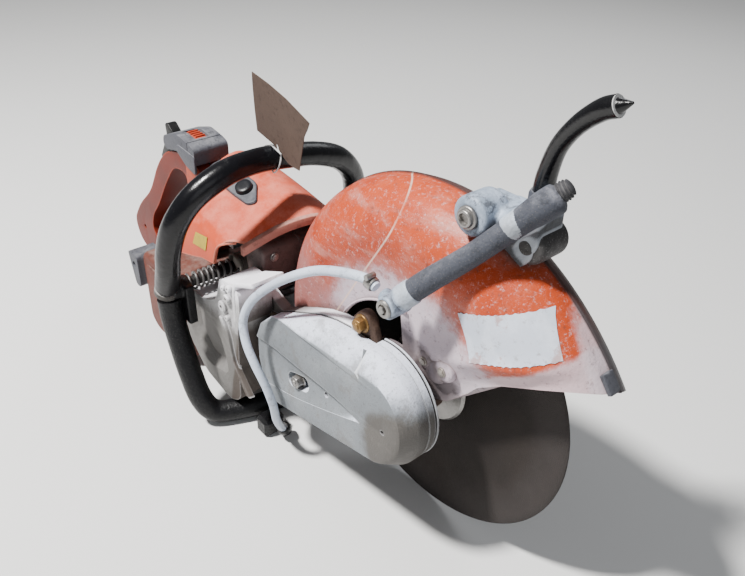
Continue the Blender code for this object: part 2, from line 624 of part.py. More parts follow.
def wheel_guard(parent, finish):
    """A pressed shell round the upper half of the wheel, turning on the bearing boss."""
    near, far, wall, top = -0.0475, 0.0280, GUARD_WALL, GUARD_RADIUS
    outside = [(0.0345, near), (top - 0.054, near), (top - 0.034, near + 0.0035),
               (top - 0.018, near + 0.0125), (top - 0.006, near + 0.026), (top, near + 0.042),
               (top - 0.002, far - 0.016), (top - 0.009, far - 0.005), (top - 0.024, far),
               (0.140, far)]
    inside = [(0.140, far - wall), (top - 0.025, far - wall), (top - 0.0108, far - 0.0068),
              (top - 0.0044, far - 0.0168), (top - wall, near + 0.042),
              (top - 0.0083, near + 0.0272), (top - 0.0198, near + 0.0145),
              (top - 0.035, near + 0.0058), (top - 0.054, near + wall), (0.0345, near + wall)]
    rows = []
    steps = 20
    for i in range(steps + 1):
        row = []
        for r, y in outside + inside:
            share = (y - near) / (far - near)
            front = GUARD_FRONT_NEAR + (GUARD_FRONT_FAR - GUARD_FRONT_NEAR) * share
            degrees = front + (GUARD_REAR_ANGLE - front) * i / steps
            reach = guard_reach(degrees) * max(0.0, (r - 0.120) / (top - 0.120))
            t = math.radians(degrees)
            row.append(((r + reach) * math.cos(t), y, (r + reach) * math.sin(t)))
        rows.append(row)
    guard = put("wheel_guard", loft(rows), finish, parent)
    collar = turned(ring(0.0345, 0.054, near - 0.004, near + wall + 0.001), 32)
    boolean(guard, helper("add_guard_collar", collar, parent), "UNION")


def guard_fittings(parent, finishes):
    """The casting on top of the guard, with the pipe, lever and hose fitting it carries."""
    outline = []
    for degrees in range(80, 62, -3):
        seat = GUARD_RADIUS + 0.0010 + guard_reach(degrees)
        outline += arc((0, 0), seat, degrees, degrees, 1)[:1]
    outline += [(0.103, 0.206), (0.094, 0.222), (0.080, 0.233), (0.064, 0.239), (0.050, 0.238),
                (0.040, 0.228)]
    casting = put("guard_bracket", prism(outline, -0.040, 0.012), finishes["casting"], parent)
    aim = (GUARD_TUBE_HIGH - GUARD_TUBE_LOW).normalized()
    saddle = rod(GUARD_TUBE_RADIUS + GAP, GUARD_TUBE_LOW - aim * 0.01, GUARD_TUBE_HIGH + aim * 0.04)
    boolean(casting, helper("cut_pipe_saddle", saddle, parent))
    bevel(casting, 0.004, 1, 60.0)
    pipe = rod(GUARD_TUBE_RADIUS, GUARD_TUBE_LOW, GUARD_TUBE_HIGH)
    put("guard_pipe", pipe, finishes["dusty"], parent)
    tip = GUARD_TUBE_HIGH + aim * GAP
    boot_profile = [(0, 0)]
    ribs, pitch = 3, 0.0044
    for i in range(ribs):
        boot_profile += [(0.0090, pitch * i), (0.0090, pitch * (i + 0.55)),
                         (0.0072, pitch * (i + 0.6)), (0.0072, pitch * (i + 0.95))]
    boot_profile.append((0, pitch * ribs))
    boot = turned(boot_profile, 12, along="Z")
    turn = Vector((0, 0, 1)).rotation_difference(aim).to_matrix().to_4x4()
    bmesh.ops.transform(boot, matrix=Matrix.Translation(tip) @ turn, verts=boot.verts)
    put("lever_boot", boot, finishes["black"], parent)
    route = [(0.087, 0.0140, 0.2400), (0.089, 0.0130, 0.262), (0.096, 0.0110, 0.287),
             (0.110, 0.0090, 0.309), (0.130, 0.0080, 0.327), (0.150, 0.0080, 0.336)]
    tube("guard_lever", smooth_path(route, 3), 0.0075, finishes["black"], parent)
    bolt = turned(disc(0.0085, -0.0480, -0.040 - GAP), 6, (0.058, 0, 0.2255))
    put("guard_bolt", bolt, finishes["steel"], parent)
    body = turned(disc(0.0110, FITTING.y - 0.013, FITTING.y + 0.013), 20, (FITTING.x, 0, FITTING.z))
    fitting = put("hose_fitting", body, finishes["casting"], parent)
    barb = rod(0.0062, FITTING, FITTING + BARB, 14)
    boolean(fitting, helper("add_barb", barb, parent), "UNION")
    room = rod(GUARD_TUBE_RADIUS + GAP, GUARD_TUBE_LOW - aim * GAP, GUARD_TUBE_LOW + aim * 0.04)
    boolean(fitting, helper("cut_pipe_end", room, parent))
    clip = arc((0, 0), 0.146, 35.0, 39.0, 1) + arc((0, 0), 0.160, 39.0, 35.0, 1)
    put("guard_clip", prism(clip, -0.0500, -0.0475 - GAP), finishes["steel"], parent)


# ---------------------------------------------------------------- water feed and tag


def water_feed(parent, hose_finish, black):
    """The hose from the guard's fitting down past the covers to the plug under the machine."""
    start = FITTING + BARB + BARB.normalized() * GAP
    route = [tuple(start), tuple(start + BARB * 0.5), (-0.0440, -0.0835, 0.1370),
             (-0.0800, -0.0870, 0.1230), (-0.1150, -0.0910, 0.1010), (-0.1470, -0.0990, 0.0750),
             (-0.1710, -0.1100, 0.0470), (-0.1790, -0.1180, 0.0200), (-0.1700, -0.1220, -0.0030),
             (-0.1550, -0.1220, -0.0250), (-0.1430, -0.1170, -0.0520), (-0.1390, -0.1110, -0.0820),
             (-0.1430, -0.1050, -0.1110), (-0.1530, -0.0940, -0.1370), (-0.1620, -0.0830, -0.1550)]
    route = [start, *smooth_path(route[1:], 2)]
    tube("water_hose", route, HOSE_RADIUS, hose_finish, parent, sides=2)
    end = Vector(route[-1])
    aim = (end - Vector(route[-2])).normalized()
    plug = rod(0.0085, end + aim * GAP, end + aim * 0.014, 16)
    put("hose_plug", plug, black, parent)


def frame_foot(parent, black):
    """The rubber block beside the frame's lower bar."""
    foot = block((-0.2005, -0.100, -HUB[2]), (-0.176, -0.070, -0.150))
    bevel(put("frame_foot", foot, black, parent), 0.004)


def hang_tag(parent, card, wire):
    """A blank card standing above the front handle, and the wire ring that ties it there."""
    corner = Vector((-0.2440, -0.0460, 0.2670))
    across, down = Vector((0.0970, -0.0070, -0.0090)), Vector((-0.0070, 0.0150, -0.0830))
    thick = across.cross(down).normalized() * 0.0003
    shape = [(0, 0), (1.08, 0.15), (0.94, 0.40), (0.74, 1.0), (0.48, 1.06), (0.18, 0.95),
             (-0.17, 0.92), (-0.06, 0.26)]
    flat = [corner + across * a + down * b for a, b in shape]
    put("hang_tag", loft([[p - thick for p in flat], [p + thick for p in flat]]), card, parent,
        smooth=False)
    loop = turned(ring(0.0152, 0.0172, -0.0012, 0.0012), 20)
    bmesh.ops.translate(loop, verts=loop.verts, vec=(-0.2485, -0.0250, 0.1640))
    put("tag_tie", loop, wire, parent)


def finishes():
    return dict(
        orange=material("orange_plastic", (0.62, 0.17, 0.08), 0.5),
        guard=material("guard_paint", (0.70, 0.22, 0.08), 0.5),
        handle=material("handle_plastic", (0.36, 0.11, 0.06), 0.5),
        grey=material("grey_plastic", (0.20, 0.20, 0.22), 0.6),
        pale=material("pale_casting", (0.55, 0.57, 0.60), 0.6),
        black=material("black_plastic", (0.02, 0.02, 0.022), 0.4),
        gloss=material("black_grip", (0.012, 0.012, 0.014), 0.25),
        dusty=material("dusty_rubber", (0.12, 0.12, 0.125), 0.7),
        steel=material("steel", (0.45, 0.43, 0.40), 0.4, 0.9),
        metal=material("aluminium", (0.55, 0.55, 0.56), 0.45, 0.8),
        casting=material("zinc_casting", (0.42, 0.42, 0.45), 0.5, 0.6),
        abrasive=material("abrasive", (0.055, 0.042, 0.036), 0.95),
        muffler=material("burnt_steel", (0.07, 0.045, 0.035), 0.7, 0.4),
        filter=material("filter_felt", (0.45, 0.40, 0.28), 0.95),
        switch=material("switch_orange", (0.75, 0.16, 0.06), 0.4),
        hose=material("hose_vinyl", (0.48, 0.50, 0.50), 0.4),
        rope=material("rope", (0.5, 0.5, 0.46), 0.9),
        card=material("card", (0.42, 0.30, 0.25), 0.9),
    )


def main():
    clear_scene()
    looks = finishes()
    saw = empty("saw_frame", HUB)
    crankcase(saw, looks["metal"])
    cylinder_group(saw, looks["metal"], looks["black"])
    engine_extras(saw, looks)
    crank_body(saw, looks)
    wheel_body(saw, looks)
    drive_belt(saw, looks["black"])
    cast_arm(saw, looks["pale"])
    bearings(saw, looks["steel"])
    cavity = drive_cavity(saw)
    belt_cover(saw, looks["pale"], looks["steel"], cavity)
    clutch_casing(saw, looks["pale"], cavity)
    engine_shroud(saw, looks["orange"])
    compression_release(saw, looks["grey"], looks["black"])
    fuel_tank(saw, looks["handle"], looks["black"])
    rear_handle(saw, looks)
    controls(saw, looks["black"])
    starter(saw, looks)
    front_handle(saw, looks["gloss"], looks["dusty"], looks["steel"])
    rear_bracket(saw, looks["grey"])
    guard_axis = empty("guard_axis", (0, 0, 0), saw)
    wheel_guard(guard_axis, looks["guard"])
    guard_fittings(guard_axis, looks)
    water_feed(saw, looks["hose"], looks["black"])
    frame_foot(saw, looks["black"])
    hang_tag(saw, looks["card"], looks["steel"])


main()
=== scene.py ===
"""Looks for the petrol cut-off saw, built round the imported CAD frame.

Shapes are laid out from the wheel's hub, as in the CAD part: metres, +X towards the
wheel, +Y to the operator's left, +Z up. piece() carries them to the frame.
"""

import math

import bmesh
import bpy
from mathutils import Matrix, Vector


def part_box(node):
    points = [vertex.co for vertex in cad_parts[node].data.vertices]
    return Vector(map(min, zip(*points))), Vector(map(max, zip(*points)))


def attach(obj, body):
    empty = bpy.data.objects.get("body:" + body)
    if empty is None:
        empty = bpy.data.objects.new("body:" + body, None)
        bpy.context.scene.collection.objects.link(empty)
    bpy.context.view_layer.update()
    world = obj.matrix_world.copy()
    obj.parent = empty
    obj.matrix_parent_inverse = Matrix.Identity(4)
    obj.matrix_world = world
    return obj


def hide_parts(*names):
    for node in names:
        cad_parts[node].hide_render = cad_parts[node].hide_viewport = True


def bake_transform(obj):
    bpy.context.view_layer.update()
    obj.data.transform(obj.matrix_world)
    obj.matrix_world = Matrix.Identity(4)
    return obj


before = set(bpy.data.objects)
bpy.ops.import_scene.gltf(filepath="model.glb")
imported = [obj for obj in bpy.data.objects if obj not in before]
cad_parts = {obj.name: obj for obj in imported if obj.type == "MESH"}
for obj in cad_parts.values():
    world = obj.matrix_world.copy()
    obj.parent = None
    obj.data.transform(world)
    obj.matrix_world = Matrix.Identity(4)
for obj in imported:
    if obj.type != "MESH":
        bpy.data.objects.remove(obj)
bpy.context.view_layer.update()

wheel_low, wheel_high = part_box("cutting_wheel")
HUB = (wheel_low + wheel_high) / 2
FLOOR = -HUB.z
ARM_LENGTH, ARM_TILT = 0.280, math.radians(18.0)
CRANK = Vector((-ARM_LENGTH * math.cos(ARM_TILT), 0.0, -ARM_LENGTH * math.sin(ARM_TILT)))
ALONG = Vector((-math.cos(ARM_TILT), -math.sin(ARM_TILT)))  # hub to crank, in X and Z
COVER_NEAR, CASING_NEAR, ARM_NEAR, GAP = -0.0980, -0.1120, -0.0662, 0.0003
PLATE = -0.0475  # the guard's near face
TUBE_LOW, TUBE_HIGH = Vector((0.0290, -0.0780, 0.1480)), Vector((0.1180, -0.0100, 0.2590))
FITTING, BARB = Vector((0.0190, -0.0790, 0.1350)), Vector((-0.0240, -0.0005, 0.0050))
BUTTON = Vector((-0.3030, -0.0300, 0.1035))
BUTTON_NORMAL = Vector((0.133, -0.460, 1.0)).normalized()
GRIP, PULL = Vector((-0.3280, 0.0900, -0.0300)), Vector((-0.50, 0.45, 0.74)).normalized()
HANDLE_TUBE, HOSE_DIAMETER = 0.0145, 0.010


# ---------------------------------------------------------------- camera, light, floor


def camera():
    azimuth, elevation, roll = (math.radians(a) for a in (47.914, 33.968, 2.376))
    back = Vector((math.sin(azimuth) * math.cos(elevation),
                   -math.cos(azimuth) * math.cos(elevation), math.sin(elevation)))
    right = (-back).cross(Vector((0, 0, 1))).normalized()
    up = right.cross(-back)
    right, up = (right * math.cos(roll) + up * math.sin(roll),
                 up * math.cos(roll) - right * math.sin(roll))
    data = bpy.data.cameras.new("camera")
    data.lens, data.sensor_width = 34.79, 36.0
    made = bpy.data.objects.new("camera", data)
    made.matrix_world = Matrix.Translation(HUB + Vector((0.39, -0.441, 0.5))) @ Matrix(
        (right, up, back)).transposed().to_4x4()
    bpy.context.scene.collection.objects.link(made)
    bpy.context.scene.camera = made


def lamp(name, place, target, size, power, colour=(1, 1, 1)):
    data = bpy.data.lights.new(name, "AREA")
    data.shape, data.size, data.energy, data.color = "DISK", size, power, colour
    made = bpy.data.objects.new(name, data)
    made.location = place
    made.rotation_euler = (Vector(target) - Vector(place)).to_track_quat("-Z", "Y").to_euler()
    bpy.context.scene.collection.objects.link(made)


def studio():
    middle = Vector((0.1, 0.0, 0.2))
    key = Vector((-0.215, -0.466, 0.857)) * 2.4
    lamp("key", middle + key, middle, 0.26, 190, (1.0, 0.985, 0.96))
    lamp("fill", middle + Vector((1.9, -1.2, 1.0)), middle, 1.6, 8, (0.93, 0.96, 1.0))
    lamp("back", middle + Vector((-0.6, 1.9, 1.5)), middle, 1.2, 13, (0.96, 0.98, 1.0))
    world = bpy.data.worlds.new("studio")
    world.use_nodes = True
    world.node_tree.nodes["Background"].inputs[0].default_value = (0.95, 0.97, 1.0, 1)
    world.node_tree.nodes["Background"].inputs[1].default_value = 0.28
    bpy.context.scene.world = world
    mesh = bpy.data.meshes.new("floor")
    reach = 30.0
    mesh.from_pydata([(-reach, -reach, 0), (reach, -reach, 0), (reach, reach, 0),
                      (-reach, reach, 0)], [], [(0, 1, 2, 3)])
    floor = bpy.data.objects.new("floor", mesh)
    bpy.context.scene.collection.objects.link(floor)
    pale = bpy.data.materials.new("floor")
    pale.use_nodes = True
    shader = pale.node_tree.nodes["Principled BSDF"]
    shader.inputs["Base Color"].default_value = (0.66, 0.66, 0.655, 1)
    shader.inputs["Roughness"].default_value = 0.9
    mesh.materials.append(pale)


# ---------------------------------------------------------------- materials


class Look:
    """A Principled material whose colour is painted in layers, in the object's own space."""

    def __init__(self, name, colour, roughness=0.5, metallic=0.0, coat=0.0):
        self.material = bpy.data.materials.new(name)
        self.material.use_nodes = True
        self.tree = self.material.node_tree
        self.shader = self.tree.nodes["Principled BSDF"]
        self.shader.inputs["Metallic"].default_value = metallic
        self.shader.inputs["Coat Weight"].default_value = coat
        self.shader.inputs["Roughness"].default_value = roughness
        self.shader.inputs["Specular IOR Level"].default_value = 0.25
        self.place = self.node("ShaderNodeTexCoord").outputs["Object"]
        self.normal = self.node("ShaderNodeTexCoord").outputs["Normal"]
        self.colour = self.value_colour(colour)
        self.roughness = None
        self.base_roughness = roughness
        self.height = None

    def node(self, kind, inputs=(), **settings):
        made = self.tree.nodes.new(kind)
        for key, value in settings.items():
            setattr(made, key, value)
        for key, value in dict(inputs).items():
            if isinstance(value, bpy.types.NodeSocket):
                self.tree.links.new(value, made.inputs[key])
            else:
                made.inputs[key].default_value = value
        return made

    def value_colour(self, colour):
        made = self.node("ShaderNodeRGB")
        made.outputs[0].default_value = (*colour, 1.0)
        return made.outputs[0]

    def math(self, operation, a, b=0.0, clamp=False):
        return self.node("ShaderNodeMath", {0: a, 1: b}, operation=operation,
                         use_clamp=clamp).outputs[0]

    def step(self, value, low, high):
        """0 below low and 1 above high, or the other way round where high is the lower."""
        return self.node("ShaderNodeMapRange", {"Value": value, "From Min": low, "From Max": high},
                         interpolation_type="SMOOTHSTEP").outputs[0]

    def noise(self, scale, detail=5.0, stretch=(1, 1, 1), rough=0.6, seed=0.0):
        spot = self.node("ShaderNodeMapping", {"Vector": self.place, "Scale": stretch,
                                               "Location": (seed, seed * 0.7, -seed)})
        return self.node("ShaderNodeTexNoise", {"Vector": spot.outputs[0], "Scale": scale,
                                                "Detail": detail, "Roughness": rough}).outputs[0]

    def grains(self, scale, seed=0.0):
        """Distance from a scatter of points: small near each of them."""
        spot = self.node("ShaderNodeMapping", {"Vector": self.place,
                                               "Location": (seed, -seed, seed * 0.3)})
        return self.node("ShaderNodeTexVoronoi", {"Vector": spot.outputs[0],
                                                  "Scale": scale}).outputs["Distance"]

    def axis(self, name):
        return self.node("ShaderNodeSeparateXYZ", {0: self.place}).outputs[name]

    def upward(self):
        return self.node("ShaderNodeSeparateXYZ", {0: self.normal}).outputs["Z"]

    def radius(self, centre):
        """Distance from a line along Y through the centre."""
        spot = self.node("ShaderNodeVectorMath", {0: self.place, 1: tuple(centre)},
                         operation="SUBTRACT").outputs[0]
        flat = self.node("ShaderNodeVectorMath", {0: spot, 1: (1, 0, 1)},
                         operation="MULTIPLY").outputs[0]
        return self.node("ShaderNodeVectorMath", {0: flat}, operation="LENGTH").outputs["Value"]

    def distance(self, centre, stretch=(1, 1, 1)):
        spot = self.node("ShaderNodeVectorMath", {0: self.place, 1: tuple(centre)},
                         operation="SUBTRACT").outputs[0]
        spot = self.node("ShaderNodeVectorMath", {0: spot, 1: stretch},
                         operation="MULTIPLY").outputs[0]
        return self.node("ShaderNodeVectorMath", {0: spot}, operation="LENGTH").outputs["Value"]

    def side(self, point, normal):
        """Height above a plane."""
        normal = Vector(normal).normalized()
        dot = self.node("ShaderNodeVectorMath", {0: self.place, 1: tuple(normal)},
                        operation="DOT_PRODUCT").outputs["Value"]
        return self.math("SUBTRACT", dot, float(normal.dot(Vector(point))))

    def angle(self):
        """Degrees about the wheel's axis, from +X towards +Z."""
        x = self.math("SUBTRACT", self.axis("X"), float(HUB.x))
        z = self.math("SUBTRACT", self.axis("Z"), float(HUB.z))
        return self.math("MULTIPLY", self.math("ARCTAN2", z, x), 180 / math.pi)

    def paint(self, mask, colour, strength=1.0):
        """Lays a colour over what is there, where the mask is."""
        if strength != 1.0:
            mask = self.math("MULTIPLY", mask, strength)
        over = self.value_colour(colour) if isinstance(colour, tuple) else colour
        mix = self.node("ShaderNodeMix", data_type="RGBA")
        self.tree.links.new(mask, mix.inputs["Factor"])
        self.tree.links.new(self.colour, mix.inputs["A"])
        self.tree.links.new(over, mix.inputs["B"])
        self.colour = mix.outputs["Result"]
        return mask

    def dull(self, mask, amount):
        """Raises or lowers the roughness where the mask is."""
        now = self.base_roughness if self.roughness is None else self.roughness
        self.roughness = self.math("ADD", self.math("MULTIPLY", mask, amount), now, clamp=True)

    def raise_by(self, height, amount):
        """Adds to the bump, in metres."""
        more = self.math("MULTIPLY", height, amount)
        self.height = more if self.height is None else self.math("ADD", self.height, more)

    def crevices(self, reach):
        """1 in corners that are close together, 0 on open faces."""
        shade = self.node("ShaderNodeAmbientOcclusion", {"Distance": reach}, samples=6)
        return self.step(shade.outputs["AO"], 0.85, 0.35)

    def edges(self, reach):
        """1 along outward edges."""
        shade = self.node("ShaderNodeAmbientOcclusion", {"Distance": reach}, samples=6, inside=True)
        return self.step(shade.outputs["AO"], 0.80, 0.45)

    def done(self):
        self.tree.links.new(self.colour, self.shader.inputs["Base Color"])
        if self.roughness is not None:
            self.tree.links.new(self.roughness, self.shader.inputs["Roughness"])
        if self.height is not None:
            bump = self.node("ShaderNodeBump", {"Height": self.height, "Strength": 1.0,
                                                "Distance": 1.0})
            self.tree.links.new(bump.outputs[0], self.shader.inputs["Normal"])
        return self.material


def dusty(name, colour, roughness=0.55, dust=(0.50, 0.46, 0.43), amount=0.5, grit=0.0005,
          metallic=0.0, coat=0.0, shade=0.75, scale=1.0, speck=None, corners=0.6):
    """A plain worn finish: mottled colour, dust on top and in corners, and fine grit."""
    look = Look(name, colour, roughness, metallic, coat)
    mottle = look.noise(14 * scale, 6)
    look.paint(look.step(mottle, 0.35, 0.7), tuple(c * shade for c in colour), 0.8)
    lay = look.math("ADD", look.math("MULTIPLY", look.noise(38 * scale, 8, rough=0.7, seed=3), 0.8),
                    look.math("MULTIPLY", look.upward(), 0.22))
    film = look.step(lay, 0.66 - 0.3 * amount, 0.95 - 0.3 * amount)
    look.paint(film, dust, min(1.0, 0.20 + amount))
    if corners:
        look.paint(look.crevices(0.008), tuple(c * 0.8 for c in dust), corners)
    grime = look.noise(110 * scale, 9, rough=0.8, seed=13)
    look.paint(look.step(grime, 0.52, 0.62), tuple(c * 0.45 for c in colour), 0.65)
    if speck:
        look.paint(look.step(look.grains(520 * scale), 0.26, 0.12), speck, 0.65)
    look.dull(film, 0.3)
    look.raise_by(look.noise(420, 3, seed=7), grit)
    look.raise_by(look.noise(60 * scale, 4, seed=9), grit * 1.4)
    return look.done()


# ---------------------------------------------------------------- shapes


def arc(centre, radius, start, end, steps):
    """Points (x, z) along an arc, in degrees from +X towards +Z."""
    turn = [math.radians(start + (end - start) * i / steps) for i in range(steps + 1)]
    return [(centre[0] + radius * math.cos(t), centre[1] + radius * math.sin(t)) for t in turn]


def rounded(points, radius, steps=6):
    """A closed outline with its corners turned into arcs, as far as its sides allow."""
    out = []
    for i, point in enumerate(points):
        here = Vector(point)
        back = Vector(points[i - 1]) - here
        ahead = Vector(points[(i + 1) % len(points)]) - here
        reach = min(radius, 0.45 * back.length, 0.45 * ahead.length)
        a, b = here + back.normalized() * reach, here + ahead.normalized() * reach
        for k in range(steps + 1):
            t = k / steps
            out.append(tuple(a * (1 - t) ** 2 + here * 2 * t * (1 - t) + b * t * t))
    return out


def smooth_path(points, spans):
    """Catmull-Rom points through the given ones, spans to each stretch."""
    knots = [Vector(p) for p in points]
    knots = [2 * knots[0] - knots[1], *knots, 2 * knots[-1] - knots[-2]]
    out = []
    for a, b, c, d in zip(knots, knots[1:], knots[2:], knots[3:]):
        for i in range(spans):
            t = i / spans
            out.append(0.5 * (2 * b + (c - a) * t + (2 * a - 5 * b + 4 * c - d) * t * t
                              + (3 * b - a - 3 * c + d) * t ** 3))
    return [*out, knots[-2]]


def loft(rings, caps=True, bm=None):
    """A skin through rings of the same number of 3-D points, with flat ends."""
    bm = bm or bmesh.new()
    rows = [[bm.verts.new(p) for p in ring] for ring in rings]
    count = len(rows[0])
    for low, high in zip(rows, rows[1:]):
        for i in range(count):
            j = (i + 1) % count
            bm.faces.new((low[i], low[j], high[j], high[i]))
    if caps:
        bm.faces.new(rows[0])
        bm.faces.new(rows[-1])
    return bm


def prism(outline, y_near, y_far, bm=None):
    return loft([[(x, y, z) for x, z in outline] for y in (y_near, y_far)], bm=bm)


def block(low, high, bm=None):
    corners = [(low[0], low[2]), (high[0], low[2]), (high[0], high[2]), (low[0], high[2])]
    return prism(corners, low[1], high[1], bm)


def turned(profile, start, end, steps=40, bm=None):
    """A closed profile of (radius, height) turned about the line from start towards end."""
    start, end = Vector(start), Vector(end)
    turn = Vector((0, 0, 1)).rotation_difference(end - start).to_matrix()
    bm = bm or bmesh.new()
    rows = []
    for radius, height in profile:
        around = steps if radius > 1e-6 else 1
        rows.append([bm.verts.new(start + turn @ Vector((
            radius * math.cos(2 * math.pi * i / steps),
            radius * math.sin(2 * math.pi * i / steps), height))) for i in range(around)])
    closed = len(rows[0]) > 1 or len(rows[-1]) > 1
    for one, two in zip(rows, rows[1:] + rows[:1] if closed else rows[1:]):
        for i in range(steps):
            j = (i + 1) % steps
            ring = (one[i % len(one)], one[j % len(one)], two[j % len(two)], two[i % len(two)])
            face = list(dict.fromkeys(ring))
            if len(face) > 2:
                bm.faces.new(face)
    return bm


def soft_disc(radius, low, high, ease):
    """A turned profile with rounded rims."""
    return [(0, low), (radius - ease, low), (radius - 0.3 * ease, low + 0.3 * ease),
            (radius, low + ease), (radius, high - ease), (radius - 0.3 * ease, high - 0.3 * ease),
            (radius - ease, high), (0, high)]


def tube(points, radius, sides=20, bm=None, round_ends=0.0):
    """A tube along the points. radius is one number, or a function of the share of the way."""
    points = [Vector(p) for p in points]
    size = radius if callable(radius) else lambda share: radius
    frames, normal = [], None
    for i, point in enumerate(points):
        aim = (points[min(i + 1, len(points) - 1)] - points[max(i - 1, 0)]).normalized()
        if normal is None:
            normal = aim.orthogonal().normalized()
        normal = (normal - aim * normal.dot(aim)).normalized()
        frames.append((point, aim, normal, size(i / (len(points) - 1))))
    if round_ends:
        first, last = frames[0], frames[-1]
        lead = [(first[0] - first[1] * round_ends * math.sin(a), first[1], first[2],
                 first[3] * math.cos(a)) for a in (1.45, 1.1, 0.7, 0.3)]
        tail = [(last[0] + last[1] * round_ends * math.sin(a), last[1], last[2],
                 last[3] * math.cos(a)) for a in (0.3, 0.7, 1.1, 1.45)]
        frames = lead + frames + tail
    rings = []
    for point, aim, normal, wide in frames:
        other = aim.cross(normal)
        rings.append([point + (normal * math.cos(t) + other * math.sin(t)) * wide
                      for t in (2 * math.pi * k / sides for k in range(sides))])
    return loft(rings, bm=bm)


def piece(name, bm, look, body, replaces=(), smooth=38.0):
    """Puts a mesh that was laid out from the hub into the frame, riding on a body."""
    bmesh.ops.recalc_face_normals(bm, faces=bm.faces)
    bmesh.ops.translate(bm, verts=bm.verts, vec=HUB)
    mesh = bpy.data.meshes.new(name)
    bm.to_mesh(mesh)
    bm.free()
    mesh.materials.append(look)
    made = bpy.data.objects.new(name, mesh)
    bpy.context.scene.collection.objects.link(made)
    shade(made, smooth)
    if body:
        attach(made, body)
    if replaces:
        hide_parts(*replaces)
    return made


def shade(made, smooth):
    made.data.shade_smooth()
    made.data.set_sharp_from_angle(angle=math.radians(smooth))


def settle(made, smooth=38.0):
    """Bakes the modifiers into the mesh."""
    graph = bpy.context.evaluated_depsgraph_get()
    baked = bpy.data.meshes.new_from_object(made.evaluated_get(graph))
    made.modifiers.clear()
    made.data = baked
    shade(made, smooth)


def cut(made, *cutters):
    """Takes shapes, laid out from the hub, out of a piece."""
    others = []
    for bm in cutters:
        bmesh.ops.recalc_face_normals(bm, faces=bm.faces)
        bmesh.ops.translate(bm, verts=bm.verts, vec=HUB)
        mesh = bpy.data.meshes.new("cutter")
        bm.to_mesh(mesh)
        bm.free()
        other = bpy.data.objects.new("cutter", mesh)
        bpy.context.scene.collection.objects.link(other)
        step = made.modifiers.new("cut", "BOOLEAN")
        step.object, step.solver, step.operation = other, "MANIFOLD", "DIFFERENCE"
        others.append(other)
    settle(made)
    for other in others:
        bpy.data.objects.remove(other)
    return made


def ease_edges(made, width, segments=3, angle=35.0, smooth=38.0):
    step = made.modifiers.new("edges", "BEVEL")
    step.width, step.segments, step.limit_method = width, segments, "ANGLE"
    step.angle_limit = math.radians(angle)
    step.use_clamp_overlap = True
    settle(made, smooth)
    return made


def cast(made, voxel, rounds=4, factor=0.6):
    """Melts joined shapes into one casting with soft inner corners."""
    step = made.modifiers.new("melt", "REMESH")
    step.mode, step.voxel_size = "VOXEL", voxel
    step = made.modifiers.new("soften", "SMOOTH")
    step.iterations, step.factor = rounds, factor
    settle(made, 60.0)
    return made


def hex_bolt(spot, aim, across=0.0065, height=0.006, washer=0.0085, bm=None):
    """A hexagon head on a washer, standing on a spot."""
    spot, aim = Vector(spot), Vector(aim).normalized()
    bm = bm or bmesh.new()
    turned([(0, -0.001), (washer, -0.001), (washer, 0.0008), (washer * 0.93, 0.0014), (0, 0.0014)],
           spot, spot + aim, 28, bm)
    turned([(0, 0.001), (across * 0.98, 0.001), (across, 0.002), (across, height * 0.9),
            (across * 0.86, height), (0, height)], spot, spot + aim, 6, bm)
    turned([(0, height * 0.9), (across * 0.55, height * 0.9), (across * 0.5, height * 1.12),
            (0, height * 1.15)], spot, spot + aim, 20, bm)
    return bm


# ---------------------------------------------------------------- finishes


